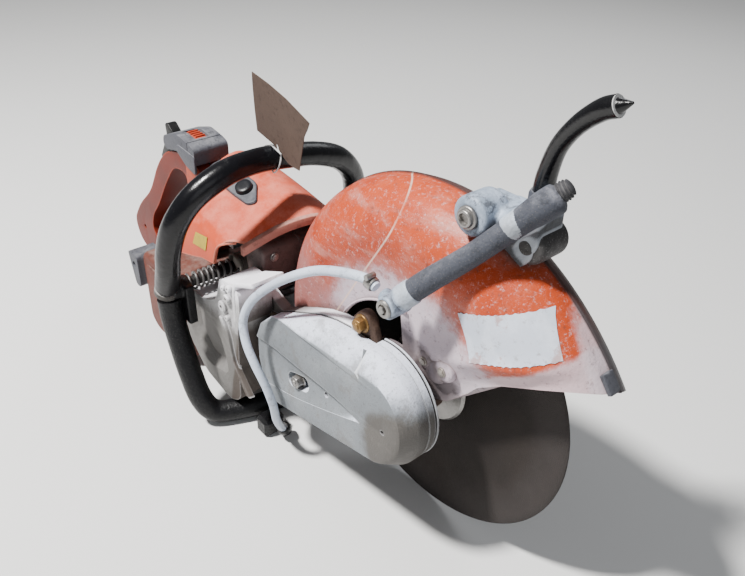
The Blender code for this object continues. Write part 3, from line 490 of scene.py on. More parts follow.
def guard_look():
    look = Look("guard_paint", (0.36, 0.044, 0.010), 0.42)
    streaks = look.noise(26, 6, stretch=(1.0, 1.0, 0.35), rough=0.65)
    look.paint(look.step(streaks, 0.45, 0.75), (0.42, 0.066, 0.020), 0.8)
    look.paint(look.step(look.noise(9, 3, seed=4), 0.48, 0.70), (0.26, 0.026, 0.008), 0.8)
    r, turn = look.radius(HUB), look.angle()
    cloud = look.noise(20, 9, rough=0.74, seed=11)
    smear = look.noise(15, 8, stretch=(0.5, 1.0, 1.6), rough=0.70, seed=31)
    pink, pale = (0.30, 0.135, 0.130), (0.50, 0.43, 0.47)
    # A thin film in patches, thicker towards the hub, along the front and at the back
    film = look.step(look.noise(48, 9, rough=0.8, seed=2), 0.50, 0.74)
    look.paint(film, (0.40, 0.130, 0.085), 0.45)
    look.paint(look.step(smear, 0.50, 0.64), (0.40, 0.185, 0.155), 0.55)
    inner = look.math("ADD", look.step(r, 0.178, 0.085), look.math("MULTIPLY", cloud, 0.9))
    look.paint(look.step(inner, 0.60, 0.95), (0.31, 0.130, 0.120), 0.65)
    ragged = look.math("ADD", inner, look.math("MULTIPLY", look.noise(95, 8, rough=0.8, seed=17), 0.7))
    dust = look.paint(look.step(ragged, 1.14, 1.50), (0.44, 0.39, 0.44), 0.90)
    rear = look.math("ADD", look.step(turn, 124, 174), look.math("MULTIPLY", cloud, 1.1))
    look.paint(look.step(rear, 0.90, 1.35), pink, 0.75)
    low = look.math("ADD", look.step(turn, 44, 35), look.math("MULTIPLY", cloud, 0.9))
    look.paint(look.step(low, 0.80, 1.10), pale, 0.75)
    front = look.math("MULTIPLY", look.step(turn, 62, 48), look.step(r, 0.210, 0.226))
    front = look.math("ADD", front, look.math("MULTIPLY", cloud, 0.7))
    look.paint(look.step(front, 0.84, 1.15), pale, 0.75)
    look.paint(look.edges(0.0018), (0.42, 0.34, 0.34), 0.6)
    # Darker brown in close corners: painted shade.
    look.paint(look.crevices(0.010), (0.150, 0.090, 0.075), 0.6)
    scratch = look.math("ABSOLUTE", look.side(HUB + Vector((-0.062, -0.0475, 0.1113)),
                                              (0.669, 0.633, -0.390)))
    upper = look.math("MULTIPLY", look.step(r, 0.096, 0.104), look.step(turn, 96, 99))
    line = look.math("MULTIPLY", look.step(scratch, 0.0010, 0.0004), upper)
    look.paint(line, (0.60, 0.42, 0.34), 0.8)
    look.paint(look.step(look.grains(620), 0.17, 0.06), (0.46, 0.28, 0.24), 0.6)
    look.paint(look.step(look.noise(130, 7, rough=0.85, seed=21), 0.55, 0.64), (0.060, 0.034, 0.028),
               0.55)
    specks = look.noise(210, 8, rough=0.85, seed=41)
    look.paint(look.step(specks, 0.54, 0.62), (0.50, 0.38, 0.38), 0.50)
    grime = look.math("ADD", look.step(r, 0.120, 0.062), look.math("MULTIPLY", smear, 0.9))
    look.paint(look.step(grime, 0.98, 1.25), (0.060, 0.048, 0.046), 0.70)
    trim = look.math("SUBTRACT", look.axis("Y"), float(HUB.y))
    look.paint(look.step(trim, 0.0035, 0.0050), (0.018, 0.017, 0.017), 0.9)
    look.dull(dust, 0.38)
    look.raise_by(look.noise(300, 3, seed=5), 0.0004)
    look.raise_by(cloud, 0.0006)
    return look.done()


def cover_look():
    look = Look("cover_casting", (0.160, 0.175, 0.190), 0.58)
    look.paint(look.step(look.noise(18, 6), 0.4, 0.7), (0.210, 0.225, 0.240), 0.8)
    lay = look.math("ADD", look.upward(), look.math("MULTIPLY", look.noise(45, 8, rough=0.7), 0.5))
    look.paint(look.step(lay, 0.62, 1.05), (0.62, 0.66, 0.76), 0.95)
    # Darker round the nose's lower side: grime, with painted shade.
    nose_grime_and_shade = look.math("ADD", look.step(look.distance(HUB + Vector((0.052, -0.085, -0.020)),
                                                    (1, 0.5, 1)), 0.075, 0.02),
                     look.math("MULTIPLY", look.noise(40, 8, rough=0.75, seed=3), 0.8))
    look.paint(look.step(nose_grime_and_shade, 0.70, 1.10), (0.070, 0.060, 0.050), 0.85)
    # Darker on faces that look down: painted shade.
    shade_below = look.math("ADD", look.math("MULTIPLY", look.upward(), -1.0),
                      look.math("MULTIPLY", look.noise(40, 8, rough=0.75, seed=5), 0.5))
    look.paint(look.step(shade_below, 0.45, 0.95), (0.075, 0.066, 0.058), 0.85)
    look.paint(look.step(look.grains(700, 2), 0.17, 0.06), (0.045, 0.04, 0.036), 0.6)
    look.paint(look.step(look.noise(220, 6, rough=0.8, seed=6), 0.54, 0.64), (0.075, 0.072, 0.070), 0.50)
    look.paint(look.step(look.noise(28, 8, rough=0.75, seed=12), 0.54, 0.64), (0.13, 0.12, 0.11), 0.45)
    look.paint(look.edges(0.0025), (0.60, 0.62, 0.65), 0.7)
    # Darker in close corners: painted shade.
    look.paint(look.crevices(0.007), (0.075, 0.065, 0.060), 0.7)
    look.raise_by(look.noise(520, 3, seed=5), 0.0005)
    look.raise_by(look.noise(70, 4, seed=8), 0.0006)
    return look.done()


def casing_look():
    """Pale on top and dark low down: painted light on the top, painted shade on the lower wall."""
    look = Look("casing_casting", (0.34, 0.335, 0.335), 0.62)
    look.paint(look.step(look.noise(30, 8, rough=0.7), 0.42, 0.62), (0.48, 0.475, 0.485), 0.9)
    high = look.math("SUBTRACT", look.axis("Z"), float(HUB.z))
    # Pale on the top and on faces that look up: painted light.
    top = look.math("ADD", look.step(high, 0.010, 0.050), look.math("MULTIPLY", look.upward(), 0.5))
    look.paint(look.step(top, 0.2, 0.8), (0.84, 0.83, 0.88), 0.9)
    # Dark low down: painted shade.
    low_shade = look.math("ADD", look.step(high, 0.010, -0.060),
                     look.math("MULTIPLY", look.noise(35, 8, rough=0.75, seed=4), 0.9))
    look.paint(look.step(low_shade, 0.55, 1.05), (0.095, 0.088, 0.080), 0.85)
    # A dark band on the wall beside the cover's tail: painted shade between the parts.
    gap_shade = look.math("ADD", look.step(look.side(HUB + Vector((-0.205, 0, 0)), (1, 0, -0.25)), -0.010, 0.012),
                    look.math("MULTIPLY", look.noise(45, 7, rough=0.7, seed=8), 0.5))
    gap_shade = look.math("MULTIPLY", look.step(gap_shade, 0.70, 1.05), look.step(high, 0.055, 0.020))
    look.paint(gap_shade, (0.060, 0.046, 0.038), 0.85)
    look.paint(look.step(look.grains(520), 0.20, 0.08), (0.05, 0.045, 0.04), 0.6)
    # Near-black in close corners: painted shade.
    look.paint(look.crevices(0.014), (0.040, 0.035, 0.032), 0.90)
    look.paint(look.edges(0.0025), (0.60, 0.59, 0.60), 0.6)
    look.raise_by(look.noise(300, 4, seed=7), 0.0007)
    look.raise_by(look.noise(60, 4, seed=9), 0.0009)
    return look.done()


def wheel_look():
    look = Look("abrasive", (0.0075, 0.0048, 0.0040), 0.85)
    u = look.math("ADD", look.axis("X"), look.axis("Z"))
    v = look.math("SUBTRACT", look.axis("X"), look.axis("Z"))
    weave = look.math("MULTIPLY", look.math("SINE", look.math("MULTIPLY", u, 1500.0)),
                      look.math("SINE", look.math("MULTIPLY", v, 1500.0)))
    weave = look.math("ADD", look.math("MULTIPLY", weave, 0.5), 0.5)
    r = look.radius(HUB)
    look.paint(look.step(look.noise(10, 5), 0.4, 0.7), (0.014, 0.010, 0.008), 0.9)
    worn = look.math("ADD", look.step(r, 0.10, 0.172), look.math("MULTIPLY", look.noise(16, 5), 0.9))
    look.paint(look.step(worn, 0.6, 1.5), (0.032, 0.027, 0.026), 0.8)
    look.paint(weave, (0.045, 0.037, 0.033), 0.28)
    grit = look.grains(1150)
    bright = look.math("MULTIPLY", look.step(grit, 0.24, 0.08), look.step(r, 0.04, 0.15))
    look.paint(bright, (0.22, 0.20, 0.19), 0.75)
    look.paint(look.step(look.grains(800, 5), 0.18, 0.06), (0.003, 0.002, 0.002), 0.7)
    look.raise_by(weave, 0.00035)
    look.raise_by(look.step(grit, 0.35, 0.05), 0.0006)
    return look.done()


def grip_look():
    look = Look("black_grip", (0.0022, 0.0022, 0.0032), 0.24, coat=0.05)
    scuff = look.paint(look.step(look.noise(30, 8, rough=0.75), 0.58, 0.76), (0.030, 0.029, 0.030), 0.6)
    look.paint(look.step(look.noise(150, 6, seed=2, rough=0.8), 0.66, 0.73), (0.14, 0.13, 0.13), 0.5)
    low = look.step(look.math("SUBTRACT", look.axis("Z"), float(HUB.z)), 0.060, -0.02)
    look.paint(look.math("MULTIPLY", low, look.noise(25, 5, seed=5)), (0.020, 0.019, 0.020), 0.7)
    look.dull(scuff, 0.4)
    look.dull(low, 0.2)
    look.raise_by(look.noise(45, 5), 0.0010)
    return look.done()


def shroud_look():
    look = Look("shroud_plastic", (0.48, 0.062, 0.020), 0.5)
    look.paint(look.step(look.noise(14, 6), 0.35, 0.7), (0.40, 0.044, 0.012), 0.8)
    cloud = look.noise(38, 9, rough=0.75, seed=3)
    lay = look.math("ADD", look.math("MULTIPLY", cloud, 0.9), look.math("MULTIPLY", look.upward(), 0.25))
    film = look.paint(look.step(lay, 0.52, 0.85), (0.56, 0.165, 0.115), 0.75)
    far = look.math("ADD", look.step(look.math("SUBTRACT", look.axis("X"), float(HUB.x)), -0.135, -0.075),
                    look.math("MULTIPLY", cloud, 0.5))
    far = look.math("MULTIPLY", look.step(far, 0.35, 1.0), look.step(look.upward(), 0.1, 0.6))
    look.paint(far, (0.30, 0.175, 0.130), 0.85)
    look.paint(look.edges(0.003), (0.50, 0.22, 0.16), 0.5)
    # Darker in close corners: painted shade.
    look.paint(look.crevices(0.008), (0.12, 0.055, 0.040), 0.6)
    look.dull(film, 0.3)
    look.raise_by(look.noise(420, 3, seed=7), 0.0004)
    look.raise_by(look.noise(60, 4, seed=9), 0.0006)
    return look.done()


def handle_look():
    """Brown inside the loop, orange where hands and knocks have cleaned its edge."""
    look = Look("handle_plastic", (0.115, 0.010, 0.003), 0.5)
    look.paint(look.step(look.noise(24, 6), 0.40, 0.7), (0.075, 0.009, 0.004), 0.8)
    worn = look.math("ADD", look.edges(0.006), look.math("MULTIPLY", look.noise(40, 6, seed=3), 0.5))
    look.paint(look.step(worn, 0.65, 1.1), (0.42, 0.060, 0.022), 0.85)
    look.paint(look.step(look.noise(90, 8, rough=0.8, seed=6), 0.60, 0.72), (0.12, 0.050, 0.035), 0.4)
    # Darker in close corners: painted shade.
    look.paint(look.crevices(0.008), (0.035, 0.014, 0.010), 0.6)
    look.raise_by(look.noise(420, 3, seed=7), 0.0004)
    return look.done()


def bracket_look():
    """Bare casting, lighter above, with painted shade dark towards its lower front."""
    look = Look("bracket_casting", (0.20, 0.245, 0.31), 0.5, 0.1)
    look.paint(look.step(look.noise(30, 8, rough=0.7), 0.42, 0.66), (0.34, 0.40, 0.50), 0.85)
    look.paint(look.step(look.noise(70, 8, rough=0.8, seed=3), 0.49, 0.60), (0.050, 0.050, 0.056), 0.75)
    # Dark round the lower lobe: painted shade.
    low = look.math("ADD", look.step(look.radius(HUB + Vector((0.108, 0, 0.210))), 0.038, 0.012),
                    look.math("MULTIPLY", look.noise(50, 7, rough=0.75, seed=6), 0.6))
    look.paint(look.step(low, 0.45, 0.85), (0.030, 0.028, 0.029), 0.9)
    # Darker in close corners: painted shade.
    look.paint(look.crevices(0.008), (0.06, 0.055, 0.055), 0.6)
    look.paint(look.edges(0.003), (0.50, 0.54, 0.60), 0.5)
    look.raise_by(look.noise(240, 4, seed=7), 0.0009)
    look.raise_by(look.noise(60, 4, seed=9), 0.0012)
    return look.done()


def label_look():
    """A worn blank sticker: pale paper, stained and torn through in places."""
    look = Look("worn_label", (0.46, 0.50, 0.58), 0.6)
    look.paint(look.step(look.noise(45, 6), 0.45, 0.65), (0.56, 0.60, 0.68), 0.8)
    look.paint(look.step(look.noise(26, 7, seed=9, rough=0.7), 0.56, 0.63), (0.34, 0.20, 0.18), 0.7)
    look.paint(look.step(look.noise(90, 6, seed=3, rough=0.8), 0.55, 0.65), (0.20, 0.18, 0.17), 0.5)
    return look.done()


LOOKS = dict(
    guard=guard_look(), cover=cover_look(), wheel=wheel_look(), grip=grip_look(),
    label=label_look(), casting=casing_look(), shroud=shroud_look(), handle=handle_look(),
    grey=dusty("grey_plastic", (0.060, 0.062, 0.074), 0.5, (0.20, 0.20, 0.215), 0.50, 0.0005),
    tank=dusty("tank_plastic", (0.11, 0.032, 0.022), 0.6, (0.20, 0.155, 0.135), 0.5),
    bracket=bracket_look(),
    arm=dusty("arm_casting", (0.055, 0.032, 0.022), 0.7, (0.13, 0.095, 0.080), 0.35, 0.0006),
    burnt=dusty("burnt_steel", (0.085, 0.060, 0.056), 0.6, (0.22, 0.18, 0.17), 0.35, 0.0005),
    dark=dusty("dark_plastic", (0.005, 0.005, 0.0055), 0.42, (0.050, 0.045, 0.043), 0.25, 0.0004),
    rubber=dusty("dusty_rubber", (0.048, 0.052, 0.066), 0.68, (0.20, 0.205, 0.235), 0.60, 0.0007,
                 speck=(0.11, 0.105, 0.10)),
    leg=dusty("leg_plastic", (0.0020, 0.0020, 0.0028), 0.40, (0.016, 0.016, 0.017), 0.20, 0.0008,
              speck=(0.05, 0.048, 0.048)),
    steel=dusty("dull_steel", (0.28, 0.27, 0.26), 0.38, (0.17, 0.145, 0.125), 0.35, 0.0003,
                metallic=0.85),
    gold=dusty("yellow_zinc", (0.24, 0.135, 0.045), 0.4, (0.17, 0.125, 0.085), 0.35, 0.0003,
               metallic=0.7),
    hose=dusty("hose_vinyl", (0.50, 0.56, 0.66), 0.35, (0.40, 0.38, 0.36), 0.20, 0.0002,
               corners=0.3),
    lever=dusty("lever_black", (0.0025, 0.0025, 0.0032), 0.25, (0.055, 0.052, 0.052), 0.15, 0.0003,
                coat=0.2),
    white=dusty("white_ring", (0.50, 0.50, 0.50), 0.45, (0.21, 0.19, 0.175), 0.2, 0.0002),
    switch=dusty("switch_orange", (0.42, 0.040, 0.010), 0.4, (0.30, 0.13, 0.10), 0.25, 0.0003),
    card=dusty("card", (0.066, 0.042, 0.032), 0.85, (0.085, 0.056, 0.043), 0.35, 0.0002, shade=0.85,
               corners=0.0),
    yellow=dusty("yellow_label", (0.45, 0.32, 0.015), 0.5, (0.22, 0.16, 0.06), 0.35, 0.0001),
    rope=dusty("rope", (0.22, 0.21, 0.175), 0.9, (0.11, 0.10, 0.088), 0.3, 0.0003),
    alloy=dusty("alloy", (0.32, 0.32, 0.33), 0.42, (0.13, 0.12, 0.11), 0.3, 0.0005, metallic=0.7),
    lip=dusty("lip_plastic", (0.34, 0.130, 0.100), 0.6, (0.52, 0.36, 0.30), 0.45, 0.0004),
    rib=dusty("ribbed_rubber", (0.030, 0.030, 0.034), 0.6, (0.17, 0.165, 0.165), 0.45, 0.0003),
    column=dusty("column_plastic", (0.30, 0.050, 0.022), 0.5, (0.32, 0.15, 0.11), 0.5, 0.0003),
    knob=dusty("knob_plastic", (0.008, 0.0085, 0.011), 0.35, (0.045, 0.045, 0.05), 0.2, 0.0002),
    pale=dusty("pale_seam", (0.065, 0.060, 0.055), 0.6, (0.32, 0.31, 0.30), 0.7, 0.0004),
    wire=dusty("spring_wire", (0.12, 0.115, 0.115), 0.4, (0.30, 0.28, 0.26), 0.4, 0.0003,
               metallic=0.6),
    seat=dusty("seat_steel", (0.30, 0.27, 0.24), 0.42, (0.20, 0.155, 0.12), 0.4, 0.0003,
               metallic=0.5),
    # Near-black for the bracket's lower lobe: painted shade.
    shaded_lobe=dusty("painted_shade_lobe", (0.040, 0.038, 0.038), 0.55, (0.15, 0.15, 0.155), 0.35, 0.0007,
                    speck=(0.20, 0.19, 0.19)),
)


# ---------------------------------------------------------------- guard


def between(table, value):
    """Straight lines through a table of (value, result)."""
    if value <= table[0][0]:
        return table[0][1]
    for (a, low), (b, high) in zip(table, table[1:]):
        if value <= b:
            return low + (high - low) * (value - a) / (b - a)
    return table[-1][1]


def ease(t):
    t = min(1.0, max(0.0, t))
    return t * t * (3 - 2 * t)


GUARD_TOP, GUARD_FAR, GUARD_WALL = 0.216, 0.0280, 0.0025
EDGE = [(0.060, 22.0), (0.081, 29.0), (0.111, 35.5), (0.141, 36.0), (0.183, 34.6), (0.230, 33.4)]
FOLD = [(0.060, 70.0), (0.076, 64.0), (0.114, 50.0), (0.155, 43.5), (0.1915, 40.0), (0.230, 37.5)]


def guard_outside():
    """The shell's section as (radius, y), from the hub out over the crown to the far side."""
    top, near, far = GUARD_TOP, PLATE, GUARD_FAR
    corners = [(top - 0.060, near), (top - 0.044, near + 0.0008), (top - 0.032, near + 0.0042),
               (top - 0.020, near + 0.0110), (top - 0.010, near + 0.0200), (top - 0.0035, near + 0.0310),
               (top - 0.0005, near + 0.0400), (top, near + 0.0480)]
    curve = [(p.x, p.y) for p in smooth_path([(r, y, 0) for r, y in corners], 4)]
    lip = [(top + 0.0002, near + 0.0515), (top + 0.0016, near + 0.0522), (top + 0.0018, near + 0.0550),
           (top + 0.0002, near + 0.0560)]
    back = [(top - 0.0010, far - 0.0140), (top - 0.0040, far - 0.0075), (top - 0.0100, far - 0.0030),
            (top - 0.0180, far - 0.0006), (top - 0.026, far), (0.160, far), (0.140, far)]
    flat = [(0.0345 + 0.0072 * i, near) for i in range(17)]
    return flat + curve[1:] + lip + back


def guard_spot(r, y, degrees):
    """Where a point of the section comes to lie once the shell is flared, dished and folded."""
    flare = 0.012 * max(0.0, (80.0 - degrees) / 53.0) ** 3
    reach = r + flare * max(0.0, (r - 0.120) / (GUARD_TOP - 0.120))
    if y < -0.012:
        fold, start = between(FOLD, r), between(EDGE, r)
        down = ease((fold - degrees) / max(2.0, fold - start))
        ridge = math.exp(-((degrees - fold) / 2.6) ** 2)
        dish = ease((degrees - fold - 3) / 10) * ease((200 - degrees) / 20)
        hollow = math.exp(-((r - 0.118) / 0.030) ** 2)
        near = (-0.012 - y) / (-0.012 - PLATE)
        y += near * (0.0085 * down - 0.0022 * ridge + 0.0030 * dish * hollow)
    t = math.radians(degrees)
    return Vector((reach * math.cos(t), y, reach * math.sin(t)))


def on_guard(x, z, lift):
    """The point on the shell's near surface in front of (x, z), raised by lift."""
    r, degrees = math.hypot(x, z), math.degrees(math.atan2(z, x))
    flare = 0.012 * max(0.0, (80.0 - degrees) / 53.0) ** 3
    base = r - flare * max(0.0, (r - 0.120) / (GUARD_TOP - 0.120))
    near = [p for p in guard_outside() if p[1] < 0.0]
    spot = guard_spot(base, between(near, base), degrees)
    steep = ease((base - 0.170) / 0.045)
    out = Vector((x, 0, z)).normalized() * steep + Vector((0, -1, 0)) * (1 - 0.5 * steep)
    return spot + out.normalized() * lift


def guard_shell():
    outside = guard_outside()
    inside = [(r - GUARD_WALL * (0.9 if r > 0.19 else 0.0), y + GUARD_WALL * (1 if y < -0.02 else
               -1 if y > 0.018 else 0)) for r, y in outside if r < GUARD_TOP - 0.0001]
    section = outside + list(reversed(inside))
    steps = 150
    rows = []
    for i in range(steps + 1):
        share = (i / steps) ** 1.35  # closer together at the front, where the fold is
        row = []
        for r, y in section:
            side = (y - PLATE) / (GUARD_FAR - PLATE)
            start = between(EDGE, r) * (1 - side) + 27.0 * side
            row.append(guard_spot(r, y, start + (212.0 - start) * share))
        rows.append(row)
    shell = piece("guard_shell", loft(rows), LOOKS["guard"], "guard",
                  ["wheel_guard"], 50.0)
    window = arc((0, 0), 0.1010, 94, 172, 26) + arc((0, 0), 0.0600, 172, 88, 24)
    cut(shell, prism(rounded(window, 0.004, 3), PLATE - 0.02, PLATE + 0.012))
    return shell


def guard_details():
    rim = []
    for degrees in range(88, 176, 2):
        t = math.radians(degrees)
        rim.append((0.1022 * math.cos(t), PLATE - 0.0004, 0.1022 * math.sin(t)))
    piece("slot_edge", tube(rim, 0.0014, 8), LOOKS["guard"], "guard")
    hub = bmesh.new()
    rings = [(0.0345, 0.000), (0.0540, 0.000), (0.0560, -0.0015), (0.0560, -0.0030), (0.0530, -0.0045),
             (0.0500, -0.0030), (0.0480, -0.0060), (0.0440, -0.0072), (0.0400, -0.0060),
             (0.0345, -0.0060)]
    turned([(r, -h) for r, h in rings], (0, PLATE + 0.0008, 0), (0, PLATE - 1, 0), 72, hub)
    piece("guard_hub_rings", hub, LOOKS["dark"], "guard")
    boss = bmesh.new()
    for x, z, size in ((0.0330, 0.0640, 0.0075), (0.0570, 0.0660, 0.0085), (0.0460, 0.0580, 0.0090)):
        turned([(0, -0.004), (size * 1.5, -0.004), (size * 1.35, 0.0005), (size, 0.0022),
                (0, 0.0024)], (x, PLATE, z), (x, PLATE - 1, z), 32, boss)
    ease_edges(piece("guard_bosses", boss, LOOKS["guard"], "guard"), 0.0006, 2)
    heads = hex_bolt((0.0330, PLATE - 0.0022, 0.0640), (0, -1, 0), 0.0036, 0.0030, 0.0046)
    hex_bolt((0.0570, PLATE - 0.0022, 0.0660), (0, -1, 0), 0.0036, 0.0024, 0.0050, heads)
    ease_edges(piece("guard_hub_bolts", heads, LOOKS["seat"], "guard"), 0.0003, 2)
    # The blank label, bowed a little over the plate, with an uneven edge
    corners = [Vector(c) for c in ((0.0649, 0, 0.1375), (0.1352, 0, 0.1690), (0.1618, 0, 0.1366),
                                   (0.0870, 0, 0.0975))]
    across, down = 36, 20
    bm = bmesh.new()
    grid = []
    for j in range(down + 1):
        v = j / down
        row = []
        for i in range(across + 1):
            u = i / across
            spot = (corners[0] * (1 - u) + corners[1] * u) * (1 - v)
            spot += (corners[3] * (1 - u) + corners[2] * u) * v
            if i in (0, across) or j in (0, down):
                nick = 0.0006 * math.sin(i * 2.7 + j * 1.9) * math.sin(i * 0.9 + j * 3.1)
                spot += Vector((nick, 0, -nick))
            row.append(bm.verts.new(on_guard(spot.x, spot.z, 0.0007)))
        grid.append(row)
    for one, two in zip(grid, grid[1:]):
        for i in range(across):
            bm.faces.new((one[i], one[i + 1], two[i + 1], two[i]))
    label = piece("blank_label", bm, LOOKS["label"], "guard")
    step = label.modifiers.new("paper", "SOLIDIFY")
    step.thickness = 0.0005
    settle(label)
    # The bent clip on the crown, at the shell's lower front corner
    rows = []
    for i in range(9):
        t = math.radians(29.6 + 4.6 * i / 8)
        inner = GUARD_TOP + 0.012 * max(0.0, (80.0 - math.degrees(t)) / 53.0) ** 3 - 0.0006
        section = [(inner, -0.0075), (inner + 0.0038, -0.0068), (inner + 0.0044, 0.0),
                   (inner + 0.0038, 0.0068), (inner, 0.0075)]
        rows.append([Vector((r * math.cos(t), y, r * math.sin(t))) for r, y in section])
    ease_edges(piece("guard_corner_clip", loft(rows), LOOKS["grey"], "guard",
                     ["guard_clip"]), 0.0009, 2)


def guard_fittings():
    aim = (TUBE_HIGH - TUBE_LOW).normalized()
    bm = bmesh.new()
    foot = [(x, z) for x, z in arc((0, 0), GUARD_TOP + 0.0012, 79, 62, 14)]
    outline = foot + [(0.1100, 0.2020), (0.1150, 0.2180), (0.1130, 0.2380), (0.1040, 0.2500),
                      (0.0940, 0.2450), (0.0800, 0.2350), (0.0660, 0.2340), (0.0450, 0.2330)]
    prism(outline, -0.022, 0.011, bm)
    turned(soft_disc(0.0182, -0.0400, -0.008, 0.003), (0.058, 0, 0.2255), (0.058, 1, 0.2255), 40, bm)
    turned(soft_disc(0.0125, -0.0280, 0.000, 0.004), (0.0830, 0, 0.2200), (0.0830, 1, 0.2200), 36, bm)
    turned(soft_disc(0.0110, 0.0, 0.030, 0.003), TUBE_HIGH - aim * 0.050, TUBE_HIGH - aim * 0.012,
           32, bm)
    made = piece("guard_casting", bm, LOOKS["bracket"], "guard", ["guard_bracket"])
    cast(made, 0.0016, 5, 0.7)
    # The lower lobe is finished near-black: painted shade.
    lobe = turned(soft_disc(0.0165, -0.0200, 0.016, 0.004), (0.1040, 0, 0.2120), (0.1040, 1, 0.2120), 40)
    turned(soft_disc(0.0080, -0.0225, -0.015, 0.002), (0.1040, 0, 0.2120), (0.1040, 1, 0.2120), 32, lobe)
    cast(piece("bracket_lower_lobe", lobe, LOOKS["shaded_lobe"], "guard"), 0.0014, 3, 0.6)
    bolt = turned([(0, 0), (0.0098, 0), (0.0104, 0.0010), (0.0104, 0.0026), (0.0096, 0.0034),
                   (0.0080, 0.0034), (0.0078, 0.0060), (0.0070, 0.0068), (0.0052, 0.0068),
                   (0.0048, 0.0030), (0, 0.0028)], (0.058, -0.0398, 0.2255), (0.058, -1, 0.2255), 44)
    ease_edges(piece("bracket_bolt", bolt, LOOKS["steel"], "guard", ["guard_bolt"]),
               0.0004, 2)
    middle = (TUBE_LOW + TUBE_HIGH) / 2
    line = smooth_path([TUBE_LOW + aim * 0.001, TUBE_LOW + aim * 0.03,
                        middle + Vector((0.001, 0, -0.0012)), TUBE_HIGH - aim * 0.03,
                        TUBE_HIGH - aim * 0.003], 12)
    sleeve = tube(line, lambda s: 0.0104 + 0.0004 * math.sin(s * 9) + 0.0020 * ease(s * 3.2 - 2.0)
                  + 0.0006 * ease(1 - s * 8), 32, round_ends=0.006)
    piece("spray_pipe_sleeve", sleeve, LOOKS["rubber"], "guard", ["guard_pipe"])
    ribs, profile = 5, [(0, 0.0)]
    for i in range(ribs):
        low = 0.0003 + 0.0025 * i
        wide = 0.0086 * math.sqrt(1 - ((i - 1.6) / 4.2) ** 2)
        profile += [(wide * 0.86, low), (wide, low + 0.0006), (wide, low + 0.0012),
                    (wide * 0.86, low + 0.0018)]
    profile += [(0.0040, 0.0003 + 0.0025 * ribs), (0, 0.0006 + 0.0025 * ribs)]
    top = TUBE_HIGH + Vector((0.0000, 0.0030, 0.0030)) - aim * 0.004
    piece("ribbed_knob", turned(profile, top, top + aim, 36), LOOKS["rib"], "guard",
          ["lever_boot"])
    route = smooth_path([(0.087, 0.0140, 0.2400), (0.089, 0.0130, 0.262), (0.096, 0.0110, 0.287),
                         (0.110, 0.0090, 0.309), (0.127, 0.0080, 0.3255), (0.139, 0.0080, 0.3320)], 8)
    piece("adjusting_lever", tube(route, lambda s: 0.0092 - 0.0016 * ease(2.2 * s)
                                  + 0.0010 * ease(3 * s - 1.6), 28), LOOKS["lever"], "guard",
          ["guard_lever"])
    tip, ahead = Vector(route[-1]), (Vector(route[-1]) - Vector(route[-2])).normalized()
    band = turned([(0, -0.001), (0.0080, -0.001), (0.0081, 0.0008), (0, 0.0010)], tip, tip + ahead)
    piece("lever_white_ring", band, LOOKS["white"], "guard")
    cone = turned([(0, 0.0008), (0.0060, 0.0008), (0.0046, 0.004), (0.0010, 0.0115), (0, 0.0118)],
                  tip, tip + ahead)
    piece("lever_tip", cone, LOOKS["lever"], "guard")
    base = Vector((0.087, 0.0140, 0.2400))
    turn = turned([(0, 0.0), (0.0112, 0.0), (0.0112, 0.006), (0.0098, 0.009), (0, 0.009)],
                  base - Vector((0, 0, 0.004)), base + Vector((0.004, 0, 1)), 32)
    piece("lever_collar", turn, LOOKS["rubber"], "guard")


def hose_end():
    """The cast elbow at the pipe's low end, its screw, the barb and the hose clamp."""
    bm = bmesh.new()
    y = FITTING.y
    spot = Vector((FITTING.x, 0, FITTING.z))
    turned(soft_disc(0.0112, y - 0.012, y + 0.013, 0.002), spot, spot + Vector((0, 1, 0)), 36, bm)
    turned(soft_disc(0.0075, 0.0, 0.018, 0.002), FITTING - BARB * 0.1, FITTING + BARB, 28, bm)
    turned(soft_disc(0.0118, -0.006, 0.012, 0.002), TUBE_LOW, TUBE_HIGH, 30, bm)
    made = piece("hose_elbow", bm, LOOKS["bracket"], "guard", ["hose_fitting"])
    cast(made, 0.0011, 3, 0.6)
    bolt = turned([(0, 0), (0.0082, 0), (0.0088, 0.0008), (0.0082, 0.0024), (0.0052, 0.0026),
                   (0.0046, 0.0010), (0, 0.0009)], spot + Vector((0, y - 0.012, 0)),
                  spot + Vector((0, y - 1, 0)), 36)
    turned([(0, 0.0006), (0.0038, 0.0006), (0.0038, 0.0040), (0.0030, 0.0046), (0, 0.0046)],
           spot + Vector((0, y - 0.012, 0)), spot + Vector((0, y - 1, 0)), 6, bolt)
    piece("elbow_screw", bolt, LOOKS["steel"], "guard")
    ahead = BARB.normalized()
    start = FITTING + BARB + ahead * 0.003
    band = turned([(0.0051, 0), (0.0066, 0), (0.0070, 0.0010), (0.0070, 0.0075), (0.0066, 0.0085),
                   (0.0051, 0.0085)], start, start + ahead, 40)
    turned(soft_disc(0.0030, -0.0055, 0.0055, 0.0008), start + ahead * 0.004 + Vector((0, -0.0020,
           0.0078)), start + ahead * 0.004 + Vector((0.0, 1.0, 0.0078)), 20, band)
    piece("hose_clamp", band, LOOKS["steel"], "guard")


HOSE = [FITTING + BARB + BARB.normalized() * GAP, FITTING + BARB * 1.5, (-0.0440, -0.0835, 0.1370),
        (-0.0800, -0.0870, 0.1230), (-0.1150, -0.0910, 0.1010), (-0.1470, -0.0990, 0.0750),
        (-0.1710, -0.1100, 0.0470), (-0.1790, -0.1180, 0.0200), (-0.1700, -0.1220, -0.0030),
        (-0.1550, -0.1220, -0.0250), (-0.1430, -0.1170, -0.0520), (-0.1390, -0.1110, -0.0820),
        (-0.1430, -0.1050, -0.1110), (-0.1530, -0.0940, -0.1370), (-0.1620, -0.0830, -0.1550)]


